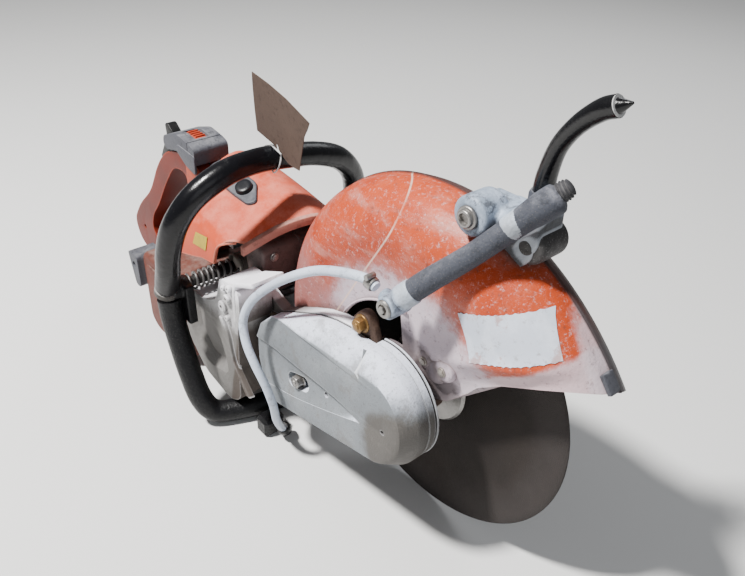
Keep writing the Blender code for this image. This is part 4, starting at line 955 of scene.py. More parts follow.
def water_hose():
    """The feed hose, from the barb on the guard's elbow to its end plug, which rides on the saw."""
    path = smooth_path(HOSE, 5)
    hose = piece("water_hose_line", tube(path, HOSE_DIAMETER / 2, 20), LOOKS["hose"], None,
                 ["water_hose"])
    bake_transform(hose)
    end, before = Vector(HOSE[-1]), Vector(HOSE[-2])
    aim = (end - before).normalized()
    plug = turned([(0, -0.006), (0.0064, -0.006), (0.0078, -0.003), (0.0086, 0.001), (0.0086, 0.012),
                   (0.0072, 0.0138), (0, 0.0140)], end, end + aim, 32)
    made = piece("hose_end_plug", plug, LOOKS["dark"], "saw", ["hose_plug"])


# ---------------------------------------------------------------- belt cover and casing


COVER_UPPER = [(-0.0198, 0.0625), (-0.0464, 0.0600), (-0.0780, 0.0545), (-0.1043, 0.0460),
               (-0.1296, 0.0340), (-0.1565, 0.0200), (-0.1810, 0.0060)]
COVER_TAIL = [(-0.1935, -0.0060), (-0.1985, -0.0240), (-0.1980, -0.0500), (-0.1900, -0.0820),
              (-0.1760, -0.1050), (-0.1640, -0.1130), (-0.1500, -0.1125)]
RIDGE_UPPER = [(-0.0036, -0.0980, 0.0430), (-0.0381, -0.0978, 0.0415), (-0.0700, -0.0970, 0.0375),
               (-0.0990, -0.0955, 0.0335), (-0.1250, -0.0935, 0.0300), (-0.1480, -0.0912, 0.0265),
               (-0.1660, -0.0895, 0.0200)]
RIDGE_TAIL = [(-0.1840, -0.0935, 0.0010), (-0.1915, -0.0970, -0.0240), (-0.1870, -0.0980, -0.0510),
              (-0.1760, -0.0980, -0.0770), (-0.1640, -0.0980, -0.0920), (-0.1560, -0.0980, -0.0955),
              (-0.1480, -0.0980, -0.0945)]
NOSE_STEPS = 30


def cover_ring(share, deep, shrink=0.0):
    """A ring of the cover: share 0 is the outer edge, 1 is the ridge round its near face."""
    turn = math.degrees(ARM_TILT)
    ring = []
    for i in range(NOSE_STEPS + 1):
        t = math.radians(turn - 90 + 174 * i / NOSE_STEPS)
        out, ridge = 0.0650 - shrink, 0.0545 - 0.0060 * ease(i / NOSE_STEPS * 3 - 2)
        outer = Vector((out * math.cos(t), deep, out * math.sin(t)))
        inner = Vector((ridge * math.cos(t), COVER_NEAR, ridge * math.sin(t)))
        ring.append(outer.lerp(inner, share))
    for (x, z), inner in zip(COVER_UPPER + COVER_TAIL, RIDGE_UPPER + RIDGE_TAIL):
        away = Vector((x + 0.09, z + 0.028)).normalized() * shrink
        ring.append(Vector((x - away.x, deep, z - away.y)).lerp(Vector(inner), share))
    return ring


def belt_cover():
    back = ARM_NEAR - GAP
    rows = [cover_ring(0.0, back), cover_ring(0.0, -0.0785), cover_ring(0.05, -0.0795),
            cover_ring(0.92, -0.0795)]
    middle = Vector((-0.070, 0.0, -0.020))
    rows += [[p + (middle - p) * Vector((0.02, 0, 0.02)) for p in cover_ring(1.0, back)]]
    made = piece("belt_cover_shell", loft(rows), LOOKS["cover"], "saw",
                 ["belt_cover"], 24.0)
    # A leaf-shaped scoop, deepest along its upper edge
    upper = [(-0.2050, -0.0210), (-0.1373, -0.0135), (-0.0831, -0.0090), (-0.0320, -0.0085),
             (-0.0010, -0.0130)]
    lower = [(-0.0010, -0.0136), (-0.0300, -0.0262), (-0.0700, -0.0430), (-0.1224, -0.0625),
             (-0.2050, -0.0850)]
    top = smooth_path([(x, 0, z) for x, z in upper], 7)
    low = smooth_path([(x, 0, z) for x, z in reversed(lower)], 7)
    rings = []
    for up, down in zip(top, low):
        rings.append([(up.x, COVER_NEAR - 0.004, up.z), (up.x, COVER_NEAR + 0.0064, up.z - 0.0008),
                      (down.x, COVER_NEAR + 0.0004, down.z), (down.x, COVER_NEAR - 0.004, down.z)])
    leaf = loft(rings)
    slot_turn = math.degrees(math.atan2(ALONG.y, ALONG.x))
    middle = ALONG * 0.116
    ends = [middle - ALONG * 0.012, middle + ALONG * 0.010]
    slot = arc(tuple(ends[1]), 0.0090, slot_turn - 90, slot_turn + 90, 10)
    slot += arc(tuple(ends[0]), 0.0090, slot_turn + 90, slot_turn + 270, 10)
    holes = bmesh.new()
    for x, z, size in ((-0.0599, -0.0200, 0.0032), (0.0324, -0.0008, 0.0026)):
        turned([(0, -0.010), (size, -0.010), (size, 0.006), (0, 0.006)], (x, COVER_NEAR, z),
               (x, COVER_NEAR + 1, z), 20, holes)
    cut(made, leaf, prism(slot, COVER_NEAR - 0.01, -0.0815), holes)
    step = made.modifiers.new("edges", "BEVEL")
    step.width, step.segments, step.limit_method = 0.0009, 2, "ANGLE"
    step.angle_limit = math.radians(28)
    settle(made, 30.0)
    nut = ALONG * 0.117
    bolt = hex_bolt((nut.x, -0.0900, nut.y), (0, -1, 0), 0.0078, 0.0095, 0.0086)
    ease_edges(piece("tension_nut", bolt, LOOKS["steel"], "saw", ["adjuster_nut"]),
               0.0004, 2)
    # The skirt reaches back round the wheel end, with a dark joint and a light lip behind it
    for name, look, near, far, outer in (("cover_skirt", "cover", 0.0000, 0.0088, 0.0650),
                                         ("cover_joint", "dark", 0.0089, 0.0104, 0.0643),
                                         ("cover_lip", "cover", 0.0105, 0.0128, 0.0655)):
        rows = []
        for x, z in arc((0, 0), 1.0, -66, 104, 48):
            rows.append([(x * r, back + y, z * r) for r, y in (
                (0.0600, near), (outer - 0.0006, near), (outer, near + 0.0005),
                (outer, far - 0.0005), (outer - 0.0006, far), (0.0600, far))])
        piece(name, loft(rows), LOOKS[look], "saw")


def arm():
    """The cast arm behind the cover: its pale ledge, and the lug for the guard's nut."""
    upper = [(x - 0.0004, z + 0.0012) for x, z in COVER_UPPER[1:]]
    shelf = [(-0.2350, -0.0100), (-0.2350, 0.0180), (-0.2180, 0.0200), *reversed(upper),
             (-0.0400, 0.0500), (-0.1200, 0.0200), (-0.1900, -0.0100)]
    ledge = piece("arm_ledge", prism(shelf, ARM_NEAR + 0.0020, -0.0502), LOOKS["casting"], "saw")
    ease_edges(ledge, 0.0012, 3)
    lug = bmesh.new()
    spot = Vector((-0.0385, 0, 0.0735))
    turned(soft_disc(0.0125, -0.0655, -0.0525, 0.002), spot, spot + Vector((0, 1, 0)), 32, lug)
    outline = [(-0.060, 0.040), (-0.054, 0.074), (-0.044, 0.085), (-0.032, 0.085), (-0.022, 0.074),
               (-0.012, 0.048)]
    prism(outline, -0.0640, -0.0560, lug)
    made = piece("arm_lug", lug, LOOKS["arm"], "saw")
    cast(made, 0.0014, 4, 0.6)
    nut = hex_bolt((spot.x, -0.0655, spot.z), (0, -1, 0), 0.0080, 0.0085, 0.0102)
    ease_edges(piece("guard_nut", nut, LOOKS["gold"], "saw"), 0.0004, 2)


def casing():
    """The pale casing: a dished wall with a raised rib and a stud field at its top."""
    outline = rounded([(-0.199, -0.004), (-0.199, 0.044), (-0.238, 0.044), (-0.252, 0.004),
                       (-0.285, -0.013), (-0.344, -0.013), (-0.3475, -0.060), (-0.334, -0.104),
                       (-0.300, -0.136), (-0.240, -0.146), (-0.214, -0.130), (-0.206, -0.010)],
                      0.012)
    made = piece("casing_wall", prism(outline, CASING_NEAR + 0.0012, ARM_NEAR - GAP),
                 LOOKS["casting"], "saw", ["clutch_casing"])
    dish = bmesh.new()
    hollow = [(-0.3360, -0.0260), (-0.2820, -0.0260), (-0.2560, -0.0420), (-0.2420, -0.0700),
              (-0.2360, -0.1040), (-0.2900, -0.1180), (-0.3280, -0.0860)]
    outer = rounded(hollow, 0.014, 4)
    centre = Vector((sum(x for x, _ in outer), sum(z for _, z in outer))) / len(outer)
    inner = [(centre.x + (x - centre.x) * 0.72, centre.y + (z - centre.y) * 0.72)
             for x, z in outer]
    loft([[(x, CASING_NEAR - 0.010, z) for x, z in outer],
          [(x, CASING_NEAR + 0.0005, z) for x, z in outer],
          [(x, CASING_NEAR + 0.0125, z) for x, z in inner]], bm=dish)
    cut(made, dish)
    ease_edges(made, 0.0022, 3)
    rib = bmesh.new()
    wave = smooth_path([(-0.2380, 0, -0.0120), (-0.2290, 0, -0.0300), (-0.2240, 0, -0.0480),
                        (-0.2160, 0, -0.0680), (-0.2030, 0, -0.0860), (-0.1880, 0, -0.1040)], 6)
    rows = []
    for i, p in enumerate(wave):
        wide = 0.0042 + 0.0022 * math.sin(i * 0.25)
        rows.append([(p.x - wide, CASING_NEAR + 0.004, p.z), (p.x - wide * 0.7, CASING_NEAR - 0.0035,
                     p.z), (p.x + wide * 0.7, CASING_NEAR - 0.0035, p.z + 0.001),
                     (p.x + wide, CASING_NEAR + 0.004, p.z + 0.001)])
    loft(rows, bm=rib)
    ease_edges(piece("casing_rib", rib, LOOKS["casting"], "saw"), 0.0012, 3)
    frame_rib = bmesh.new()
    path = [(-0.2100, -0.0060), (-0.2090, 0.0380), (-0.2040, 0.0500), (-0.1660, 0.0680)]
    for (x0, z0), (x1, z1) in zip(path, path[1:]):
        side = Vector((z1 - z0, x0 - x1)).normalized() * 0.0030
        rows = [[(x0 - side.x, y, z0 - side.y), (x1 - side.x, y, z1 - side.y),
                 (x1 + side.x, y, z1 + side.y), (x0 + side.x, y, z0 + side.y)]
                for y in (-0.1120, -0.0700)]
        loft(rows, bm=frame_rib)
    made = piece("casing_corner_rib", frame_rib, LOOKS["casting"], "saw")
    cast(made, 0.0012, 3, 0.6)
    studs = bmesh.new()
    for x, z, size in ((-0.2330, 0.0060, 0.0075), (-0.2210, 0.0230, 0.0060), (-0.2150, 0.0400, 0.0045),
                       (-0.2270, 0.0350, 0.0035), (-0.2240, -0.0060, 0.0040)):
        turned([(0, -0.004), (size, -0.004), (size, 0.0020), (size * 0.8, 0.0036),
                (size * 0.35, 0.0036), (size * 0.3, 0.0010), (0, 0.0010)],
               (x, CASING_NEAR, z), (x, CASING_NEAR - 1, z), 24, studs)
    piece("casing_studs", studs, LOOKS["casting"], "saw")
    frame_mark = bmesh.new()
    for x0, x1, z0, z1 in ((-0.2730, -0.2610, -0.0395, -0.0382), (-0.2730, -0.2610, -0.0280, -0.0267),
                           (-0.2730, -0.2717, -0.0395, -0.0267), (-0.2623, -0.2610, -0.0395, -0.0267)):
        block((x0, CASING_NEAR + 0.0050, z0), (x1, CASING_NEAR + 0.0135, z1), frame_mark)
    piece("casing_square_mark", frame_mark, LOOKS["casting"], "saw")


# ---------------------------------------------------------------- engine cover


SHROUD = [(-0.204, 0.100, 0.034), (-0.226, 0.1045, 0.033), (-0.250, 0.108, 0.030),
          (-0.280, 0.1125, 0.026), (-0.310, 0.116, 0.022), (-0.340, 0.119, 0.014),
          (-0.370, 0.121, 0.004), (-0.380, 0.119, 0.002), (-0.385, 0.112, 0.002)]
SHROUD_SIDE = [(-0.0900, -0.0520), (-0.0845, -0.0420), (-0.0760, -0.0340), (-0.0400, -0.0165),
               (-0.0040, -0.0010), (0.0180, -0.0030), (0.0400, -0.0170), (0.0560, -0.0350),
               (0.0700, -0.0620)]


def shroud_ring(x, ridge, low, inset, slant):
    """One section of the engine cover; slant leans its near side back, for the front edge."""
    side = smooth_path([(0, y, ridge + z) for y, z in SHROUD_SIDE], 3)
    ring = [Vector((0, SHROUD_SIDE[0][0], low))] + [Vector(p) for p in side]
    ring += [Vector((0, SHROUD_SIDE[-1][0], 0.030))]
    out = []
    for p in ring:
        lean = slant * min(0.0, p.y - 0.002) * 0.50
        rise = 0.006 * slant * max(0.0, 1 - abs(p.y + 0.035) / 0.045)
        y = p.y - math.copysign(inset, p.y)
        z = p.z - inset if p.z > 0.045 else p.z - 8 * inset
        out.append((x + lean, y, z + rise))
    return out


def shroud():
    rows = [shroud_ring(*s, 0.0, 1.0 - min(1.0, i / 5)) for i, s in enumerate(SHROUD)]
    made = piece("shroud_shell", loft(rows), LOOKS["shroud"], "saw",
                 ["engine_shroud"], 32.0)
    inside = [(-0.180, 0.097, 0.02)] + [(x, ridge, low) for x, ridge, low in SHROUD[1:7]]
    inner = loft([shroud_ring(*s, 0.0032, 1.0 - min(1.0, i / 5)) for i, s in enumerate(inside)])
    notch = rounded([(-0.170, 0.000), (-0.170, 0.0700), (-0.246, 0.0700), (-0.2640, 0.0690),
                     (-0.2780, 0.0560), (-0.2860, 0.0350), (-0.2960, 0.000)], 0.012, 5)
    far_notch = [(-0.180, 0.0), (-0.180, 0.066), (-0.250, 0.066), (-0.270, 0.040), (-0.274, 0.0)]
    low, high = BUTTON - BUTTON_NORMAL * 0.03, BUTTON + BUTTON_NORMAL * 0.03
    hole = turned([(0, 0), (0.0115, 0), (0.0115, 0.06), (0, 0.06)], low, high, 30)
    cut(made, inner, prism(notch, -0.115, -0.060), prism(far_notch, 0.030, 0.09), hole)
    # The thick brown lip along the slanted front edge
    front = shroud_ring(*SHROUD[0], 0.0, 1.0)
    edge = [Vector(p) for p in front if -0.0765 <= p[1] <= 0.0185]
    lip = bmesh.new()
    rows = []
    for i, p in enumerate(edge):
        drop = 0.0105 - 0.001 * i / len(edge)
        rows.append([p + Vector((0.0035, 0, 0.0010)), p + Vector((-0.0035, 0, 0.0014)),
                     p + Vector((-0.0035, 0, -drop)), p + Vector((0.0030, 0, -drop))])
    loft(rows, bm=lip)
    ease_edges(piece("shroud_front_lip", lip, LOOKS["lip"], "saw"), 0.0008, 2)
    seam = tube(smooth_path([(-0.288, -0.0905, 0.0300), (-0.276, -0.0908, 0.0560),
                             (-0.264, -0.0880, 0.0660), (-0.250, -0.0790, 0.0710)], 6), 0.0013, 8)
    piece("shroud_notch_rim", seam, LOOKS["shroud"], "saw")
    patch = bmesh.new()
    corners = [(-0.3260, 0.0560), (-0.2970, 0.0610), (-0.3050, 0.0390), (-0.3370, 0.0350)]
    loft([[(x, y, z) for x, z in corners] for y in (-0.0908, -0.0902)], bm=patch)
    piece("blank_yellow_label", patch, LOOKS["yellow"], "saw")


def cover_tongue():
    """The grey top cover runs forward over the engine cover, towards the release button."""
    ridges = [(x, ridge) for x, ridge, _ in reversed(SHROUD)]
    rows = []
    for i in range(13):
        x = -0.3835 + 0.0560 * i / 12
        near, far = -0.0600 + 0.0120 * ease(i / 12), -0.0040 - 0.0080 * ease(i / 12)
        side = [p for p in smooth_path([(x, y, between(ridges, x) + z) for y, z in SHROUD_SIDE], 6)
                if near <= p[1] <= far]
        rows.append([p + Vector((0, 0, 0.0034)) for p in side]
                    + [p - Vector((0, 0, 0.0015)) for p in reversed(side)])
    fewest = min(len(row) for row in rows) // 2
    rows = [row[:fewest] + row[-fewest:] for row in rows]
    ease_edges(piece("cover_tongue", loft(rows), LOOKS["grey"], "saw"), 0.0009, 2)


def release():
    """The drop-shaped bezel with its stepped rim, and the release button."""
    turn = Vector((0, 0, 1)).rotation_difference(BUTTON_NORMAL).to_matrix()
    rim = rounded([(-0.0400, -0.0080), (-0.0280, 0.0150), (0.0060, 0.0155), (0.0310, -0.0040),
                   (0.0240, -0.0140), (-0.0050, -0.0152), (-0.0305, -0.0145)], 0.0065, 6)
    levels = [(1.0, -0.0010), (1.0, 0.0034), (0.965, 0.0046), (0.90, 0.0050), (0.86, 0.0042),
              (0.78, 0.0042)]
    rows = [[BUTTON + turn @ Vector((x * s, y * s, h)) for x, y in rim] for s, h in levels]
    made = piece("release_bezel", loft(rows), LOOKS["grey"], "saw",
                 ["shroud_bezel"], 30.0)
    cut(made, turned([(0, -0.02), (0.0113, -0.02), (0.0113, 0.02), (0, 0.02)], BUTTON,
                     BUTTON + BUTTON_NORMAL, 40))
    knob = [(0, -0.008), (0.0108, -0.008), (0.0108, 0.0072), (0.0104, 0.0088), (0.0092, 0.0097),
            (0.0060, 0.0100), (0, 0.0098)]
    piece("release_button", turned(knob, BUTTON, BUTTON + BUTTON_NORMAL, 44), LOOKS["knob"],
          "decompressor", ["compression_button"])


def rear_handle():
    outer = rounded([(-0.3885, 0.104), (-0.430, 0.1120), (-0.474, 0.101), (-0.508, 0.068),
                     (-0.545, 0.012), (-0.592, -0.028), (-0.6215, -0.066), (-0.610, -0.098),
                     (-0.565, -0.114), (-0.4755, -0.120), (-0.4755, -0.0345), (-0.3885, -0.0345)],
                    0.022, 7)
    made = piece("rear_grip", prism(outer, -0.0470, -0.0030), LOOKS["handle"], "saw",
                 ["rear_handle"])
    hole = rounded([(-0.420, 0.086), (-0.456, 0.084), (-0.490, 0.045), (-0.520, 0.002),
                    (-0.549, -0.030), (-0.558, -0.056), (-0.540, -0.074), (-0.500, -0.068),
                    (-0.470, -0.020), (-0.422, -0.008)], 0.020, 7)
    screw = turned([(0, -0.01), (0.0036, -0.01), (0.0036, 0.012), (0, 0.012)],
                   (-0.586, -0.0470, -0.066), (-0.586, 1, -0.066), 20)
    cut(made, prism(hole, -0.07, 0.02), screw)
    ease_edges(made, 0.0075, 5, 50.0)
    seam = bmesh.new()
    # The moulding joint round the grip, and the pale column in front of the hand opening
    ring = [Vector((x, -0.0252, z)) for x, z in outer]
    tube([*ring, ring[0]], 0.0009, 6, seam)
    piece("grip_joint", seam, LOOKS["dark"], "saw")
    column = rounded([(-0.3900, 0.1030), (-0.4190, 0.1075), (-0.4215, 0.0600), (-0.4250, -0.0040),
                      (-0.4100, -0.0260), (-0.3900, -0.0300)], 0.006, 4)
    made = piece("grip_column_panel", prism(column, -0.0478, -0.0440), LOOKS["column"], "saw")
    ease_edges(made, 0.0012, 3)
    top = rounded([(-0.3885, 0.1062), (-0.430, 0.1148), (-0.4660, 0.1062), (-0.4730, 0.1130),
                   (-0.4700, 0.1250), (-0.430, 0.1380), (-0.400, 0.1340), (-0.3885, 0.1300)],
                  0.006, 5)
    cover = piece("grip_top_cover", prism(top, -0.0500, 0.0), LOOKS["grey"], "saw",
                  ["handle_cover"])
    pocket = block((-0.4480, -0.0350, 0.1275), (-0.4100, -0.0150, 0.150))
    groove = block((-0.4060, -0.060, 0.100), (-0.4048, 0.010, 0.160))
    line = block((-0.4800, -0.0400, 0.1362), (-0.380, -0.0390, 0.150))
    cut(cover, pocket, groove, line)
    ease_edges(cover, 0.0035, 4, 40.0)
    flap = bmesh.new()
    side = rounded([(-0.3880, 0.0960), (-0.4120, 0.1010), (-0.4400, 0.1180), (-0.4300, 0.1250),
                    (-0.3880, 0.1220)], 0.004, 4)
    prism(side, -0.0512, -0.0480, flap)
    ease_edges(piece("cover_side_flap", flap, LOOKS["grey"], "saw"), 0.0010, 3)
    slider = block((-0.4385, -0.0330, 0.1285), (-0.4115, -0.0170, 0.1345))
    for i in range(4):
        x = -0.4350 + 0.0062 * i
        block((x, -0.0320, 0.1340), (x + 0.0026, -0.0180, 0.1368), slider)
    ease_edges(piece("stop_switch", slider, LOOKS["switch"], "stop",
                     ["stop_slider"]), 0.0007, 2)


def controls():
    trigger = rounded([(-0.4235, 0.0835), (-0.4400, 0.0835), (-0.4520, 0.0600),
                       (-0.4500, 0.0340), (-0.4430, 0.0340), (-0.4410, 0.0560),
                       (-0.4320, 0.0700)], 0.005, 4)
    made = piece("trigger_blade", prism(trigger, -0.0330, -0.0170), LOOKS["dark"], "trigger",
                 ["throttle_trigger"])
    ease_edges(made, 0.0018, 3)
    lockout = rounded([(-0.4755, 0.1085), (-0.4800, 0.1200), (-0.4930, 0.1300),
                       (-0.5010, 0.1270), (-0.4990, 0.1120), (-0.5250, 0.0720),
                       (-0.5215, 0.0680), (-0.4990, 0.0880)], 0.0035, 4)
    made = piece("lockout_blade", prism(lockout, -0.0320, -0.0180), LOOKS["dark"], "lockout",
                 ["throttle_lockout"])
    ease_edges(made, 0.0014, 3)


def tank():
    outline = rounded([(-0.352, -0.158), (-0.352, -0.035), (-0.475, -0.035), (-0.475, -0.150),
                       (-0.455, -0.165), (-0.380, -0.165)], 0.016, 6)
    made = piece("tank_shell", prism(outline, -0.1050, 0.0900), LOOKS["tank"], "saw",
                 ["fuel_tank"])
    ease_edges(made, 0.0075, 5)
    panel = rounded([(-0.366, -0.146), (-0.366, -0.050), (-0.462, -0.050), (-0.462, -0.138),
                     (-0.450, -0.150)], 0.012, 5)
    ease_edges(piece("tank_side_panel", prism(panel, -0.1068, -0.1040), LOOKS["tank"], "saw"), 0.0012, 3)
    ridge = bmesh.new()
    for z in (-0.086, -0.1):
        block((-0.4762, -0.080, z), (-0.4740, 0.065, z + 0.005), ridge)
    ease_edges(piece("tank_back_ribs", ridge, LOOKS["tank"], "saw"), 0.0007, 2)
    cap = bmesh.new()
    axis, up = Vector((-0.405, 0.0, -0.100)), Vector((0, 1, 0))
    turned([(0, 0.0903), (0.0210, 0.0903), (0.0218, 0.0940), (0.0218, 0.1020), (0.0195, 0.1045),
            (0.0150, 0.1045), (0.0140, 0.1030), (0, 0.1030)], axis, axis + up, 60, cap)
    for i in range(20):
        t = 2 * math.pi * i / 20
        spot = axis + Vector((0.0217 * math.cos(t), 0, 0.0217 * math.sin(t)))
        turned([(0, 0.0920), (0.0012, 0.0920), (0.0012, 0.1020), (0, 0.1030)], spot, spot + up, 8,
               cap)
    block((axis.x - 0.0130, 0.1025, axis.z - 0.0018), (axis.x + 0.0130, 0.1050, axis.z + 0.0018),
          cap)
    piece("tank_cap", cap, LOOKS["dark"], "cap", ["fuel_cap"])
    for name, y in (("foot_right", -0.080), ("foot_left", 0.065)):
        foot = block((-0.445, y - 0.012, FLOOR + 0.0002), (-0.400, y + 0.012, -0.1640))
        ease_edges(piece(name + "_pad", foot, LOOKS["dark"], "saw", [name]),
                   0.0025, 3)


def starter():
    centre = Vector((CRANK.x, 0, CRANK.z))
    shell = [(0, 0.1000), (0.0220, 0.1000), (0.0260, 0.0985), (0.0500, 0.0975), (0.0575, 0.0955),
             (0.0612, 0.0905), (0.0620, 0.0840), (0.0620, 0.0460), (0.0595, 0.0460),
             (0.0595, 0.0840), (0.0560, 0.0920), (0.0480, 0.0950), (0.0220, 0.0965), (0, 0.0965)]
    made = piece("starter_housing", turned(shell, centre, centre + Vector((0, 1, 0)), 80),
                 LOOKS["dark"], "saw", ["starter_cover"])
    vents = bmesh.new()
    for i in range(14):
        t = 2 * math.pi * (i + 0.5) / 14
        away, side = Vector((math.cos(t), math.sin(t))), Vector((-math.sin(t), math.cos(t)))
        hub = Vector((centre.x, centre.z))
        corners = [hub + away * 0.030 + side * 0.0022, hub + away * 0.052 + side * 0.0034,
                   hub + away * 0.052 - side * 0.0034, hub + away * 0.030 - side * 0.0022]
        prism([tuple(c) for c in corners], 0.0930, 0.1020, vents)
    cut(made, vents)
    ring = turned([(0.0625, 0.0560), (0.0636, 0.0575), (0.0636, 0.0605), (0.0625, 0.0620)],
                  centre, centre + Vector((0, 1, 0)), 80)
    piece("starter_band", ring, LOOKS["grey"], "saw")
    screws = bmesh.new()
    for degrees in (35, 155, 275):
        t = math.radians(degrees)
        spot = centre + Vector((0.0560 * math.cos(t), 0.0945, 0.0560 * math.sin(t)))
        turned([(0, 0), (0.0034, 0), (0.0034, 0.0030), (0.0024, 0.0038), (0, 0.0038)], spot,
               spot + Vector((0, 1, 0)), 18, screws)
    piece("starter_screws", screws, LOOKS["steel"], "saw")


def starter_pull():
    """The rope's visible end, and the moulded bar that the hand pulls."""
    across = PULL.cross(Vector((0, 1, 0))).normalized()
    centre = GRIP + PULL * 0.0170
    bar = []
    for i in range(25):
        s = -1 + 2 * i / 24
        bar.append(centre + across * (0.026 * s) - PULL * (0.0028 * s * s))
    mesh = tube(bar, lambda s: 0.0083 - 0.0016 * abs(2 * s - 1) ** 3, 24, round_ends=0.004)
    turned([(0, -0.0100), (0.0040, -0.0100), (0.0050, -0.0040), (0.0078, 0.0010), (0, 0.0010)],
           centre, centre + PULL, 24, mesh)
    made = piece("starter_handle", mesh, LOOKS["dark"], "pull_grip",
                 ["starter_grip"])
    cast(made, 0.0009, 3, 0.5)
    start, end = GRIP + PULL * 0.0002, GRIP + PULL * 0.0098
    steps = 24
    line = [start + (end - start) * (i / steps) for i in range(steps + 1)]
    rope = piece("starter_rope_line", tube(line, 0.0018, 12), LOOKS["rope"], None,
                 ["starter_rope"])
    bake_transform(rope)


# ---------------------------------------------------------------- tubes, springs, tag


def handle_points():
    """The front handle's line above and below its seam."""
    near, far, low = -0.147, 0.127, HANDLE_TUBE + FLOOR
    upper = [(-0.302, near, 0.012), (-0.289, near - 0.002, 0.040), (-0.277, near - 0.003, 0.074),
             (-0.264, near + 0.004, 0.112), (-0.255, near + 0.025, 0.142),
             (-0.249, -0.085, 0.162), (-0.248, -0.045, 0.166), (-0.249, -0.004, 0.161),
             (-0.252, 0.038, 0.152), (-0.258, far - 0.049, 0.134), (-0.268, far - 0.019, 0.103),
             (-0.281, far - 0.003, 0.066), (-0.292, far, 0.036), (-0.302, far, 0.012)]
    side = [(-0.302, 0.0, -0.006), (-0.299, 0.0, -0.032), (-0.288, 0.0, -0.064),
            (-0.271, 0.0, -0.102), (-0.256, 0.003, -0.136), (-0.246, 0.014, -0.157),
            (-0.235, 0.036, low), (-0.222, 0.070, low)]
    lower = [(x, near + y, z) for x, y, z in side] + [(-0.216, -0.036, low), (-0.216, 0.016, low)]
    lower += [(x, far - y, z) for x, y, z in reversed(side)]
    return upper, lower


def bar_radius(share):
    """The grip's radius ripples a little along its length, with a shallow dent at its middle."""
    return HANDLE_TUBE + 0.0002 * math.sin(share * 40) - 0.0004 * ease(1 - abs(share - 0.5) * 9)


def front_bar():
    upper, lower = handle_points()
    line = smooth_path(upper, 9)
    line[0], line[-1] = Vector(upper[0]), Vector(upper[-1])
    piece("grip_bar", tube(line, bar_radius, 40), LOOKS["grip"], "saw",
          ["front_handle"], 60.0)
    line = smooth_path(lower, 9)
    for p in line:
        p.z = max(p.z, FLOOR + HANDLE_TUBE + 0.0003)
    piece("frame_bar", tube(line, HANDLE_TUBE - 0.0001, 40), LOOKS["leg"], "saw",
          ["handle_frame"], 60.0)
    rings = bmesh.new()
    for y in (upper[0][1], upper[-1][1]):
        start = Vector((-0.3035, y, 0.0070))
        aim = Vector((0.30, 0, 0.95)).normalized()
        turned([(0, -0.0060), (0.0150, -0.0060), (0.0153, -0.0050), (0.0153, 0.0000),
                (0.0148, 0.0010), (0, 0.0010)], start, start + aim, 44, rings)
    piece("handle_seams", rings, LOOKS["pale"], "saw")
    clamp = block((-0.3180, -0.1330, -0.0420), (-0.2830, -0.1215, 0.0120))
    turned(soft_disc(0.0135, -0.1480, -0.1200, 0.003), (-0.3020, 0, 0.0040), (-0.3020, 1, 0.0040),
           30, clamp)
    made = piece("leg_clamp", clamp, LOOKS["leg"], "saw")
    cast(made, 0.0014, 4, 0.6)


def mount_spring():
    line = []
    turns, steps = 9, 26
    start, end = -0.1320, -0.0545
    for i in range(turns * steps + 1):
        t = 2 * math.pi * i / steps
        share = i / (turns * steps)
        squeeze = share + 0.035 * math.sin(2 * math.pi * share)
        line.append(Vector((-0.302 + 0.0098 * math.cos(t), start + (end - start) * squeeze,
                            0.006 + 0.0098 * math.sin(t))))
    piece("mount_spring", tube(line, 0.0017, 10), LOOKS["wire"], "saw",
          ["isolation_spring"])
    core = turned(soft_disc(0.0068, -0.1300, -0.0560, 0.001), (-0.302, 0, 0.006),
                  (-0.302, 1, 0.006), 28)
    piece("mount_spring_core", core, LOOKS["dark"], "saw")
    cup = [(0, -0.0380), (0.0128, -0.0380), (0.0140, -0.0400), (0.0140, -0.0500),
           (0.0150, -0.0510), (0.0150, -0.0545), (0.0138, -0.0560), (0.0125, -0.0545),
           (0.0118, -0.0500), (0.0100, -0.0490), (0, -0.0490)]
    made = piece("spring_seat", turned([(r, y + 0.001) for r, y in cup], (-0.302, 0, 0.006),
                                       (-0.302, 1, 0.006), 44), LOOKS["seat"], "saw",
                 ["spring_cup"])
    shade(made, 30.0)


def rear_ear():
    outline = rounded([(-0.505, -0.046), (-0.4765, -0.046), (-0.4765, -0.098), (-0.492, -0.100)],
                      0.008, 6)
    made = piece("bracket_ear", prism(outline, -0.1120, -0.0740), LOOKS["grey"], "saw",
                 ["rear_bracket"])
    cut(made, turned([(0, -0.13), (0.0048, -0.13), (0.0048, -0.05), (0, -0.05)],
                     (-0.489, 0, -0.064), (-0.489, 1, -0.064), 24))
    ease_edges(made, 0.0030, 4)


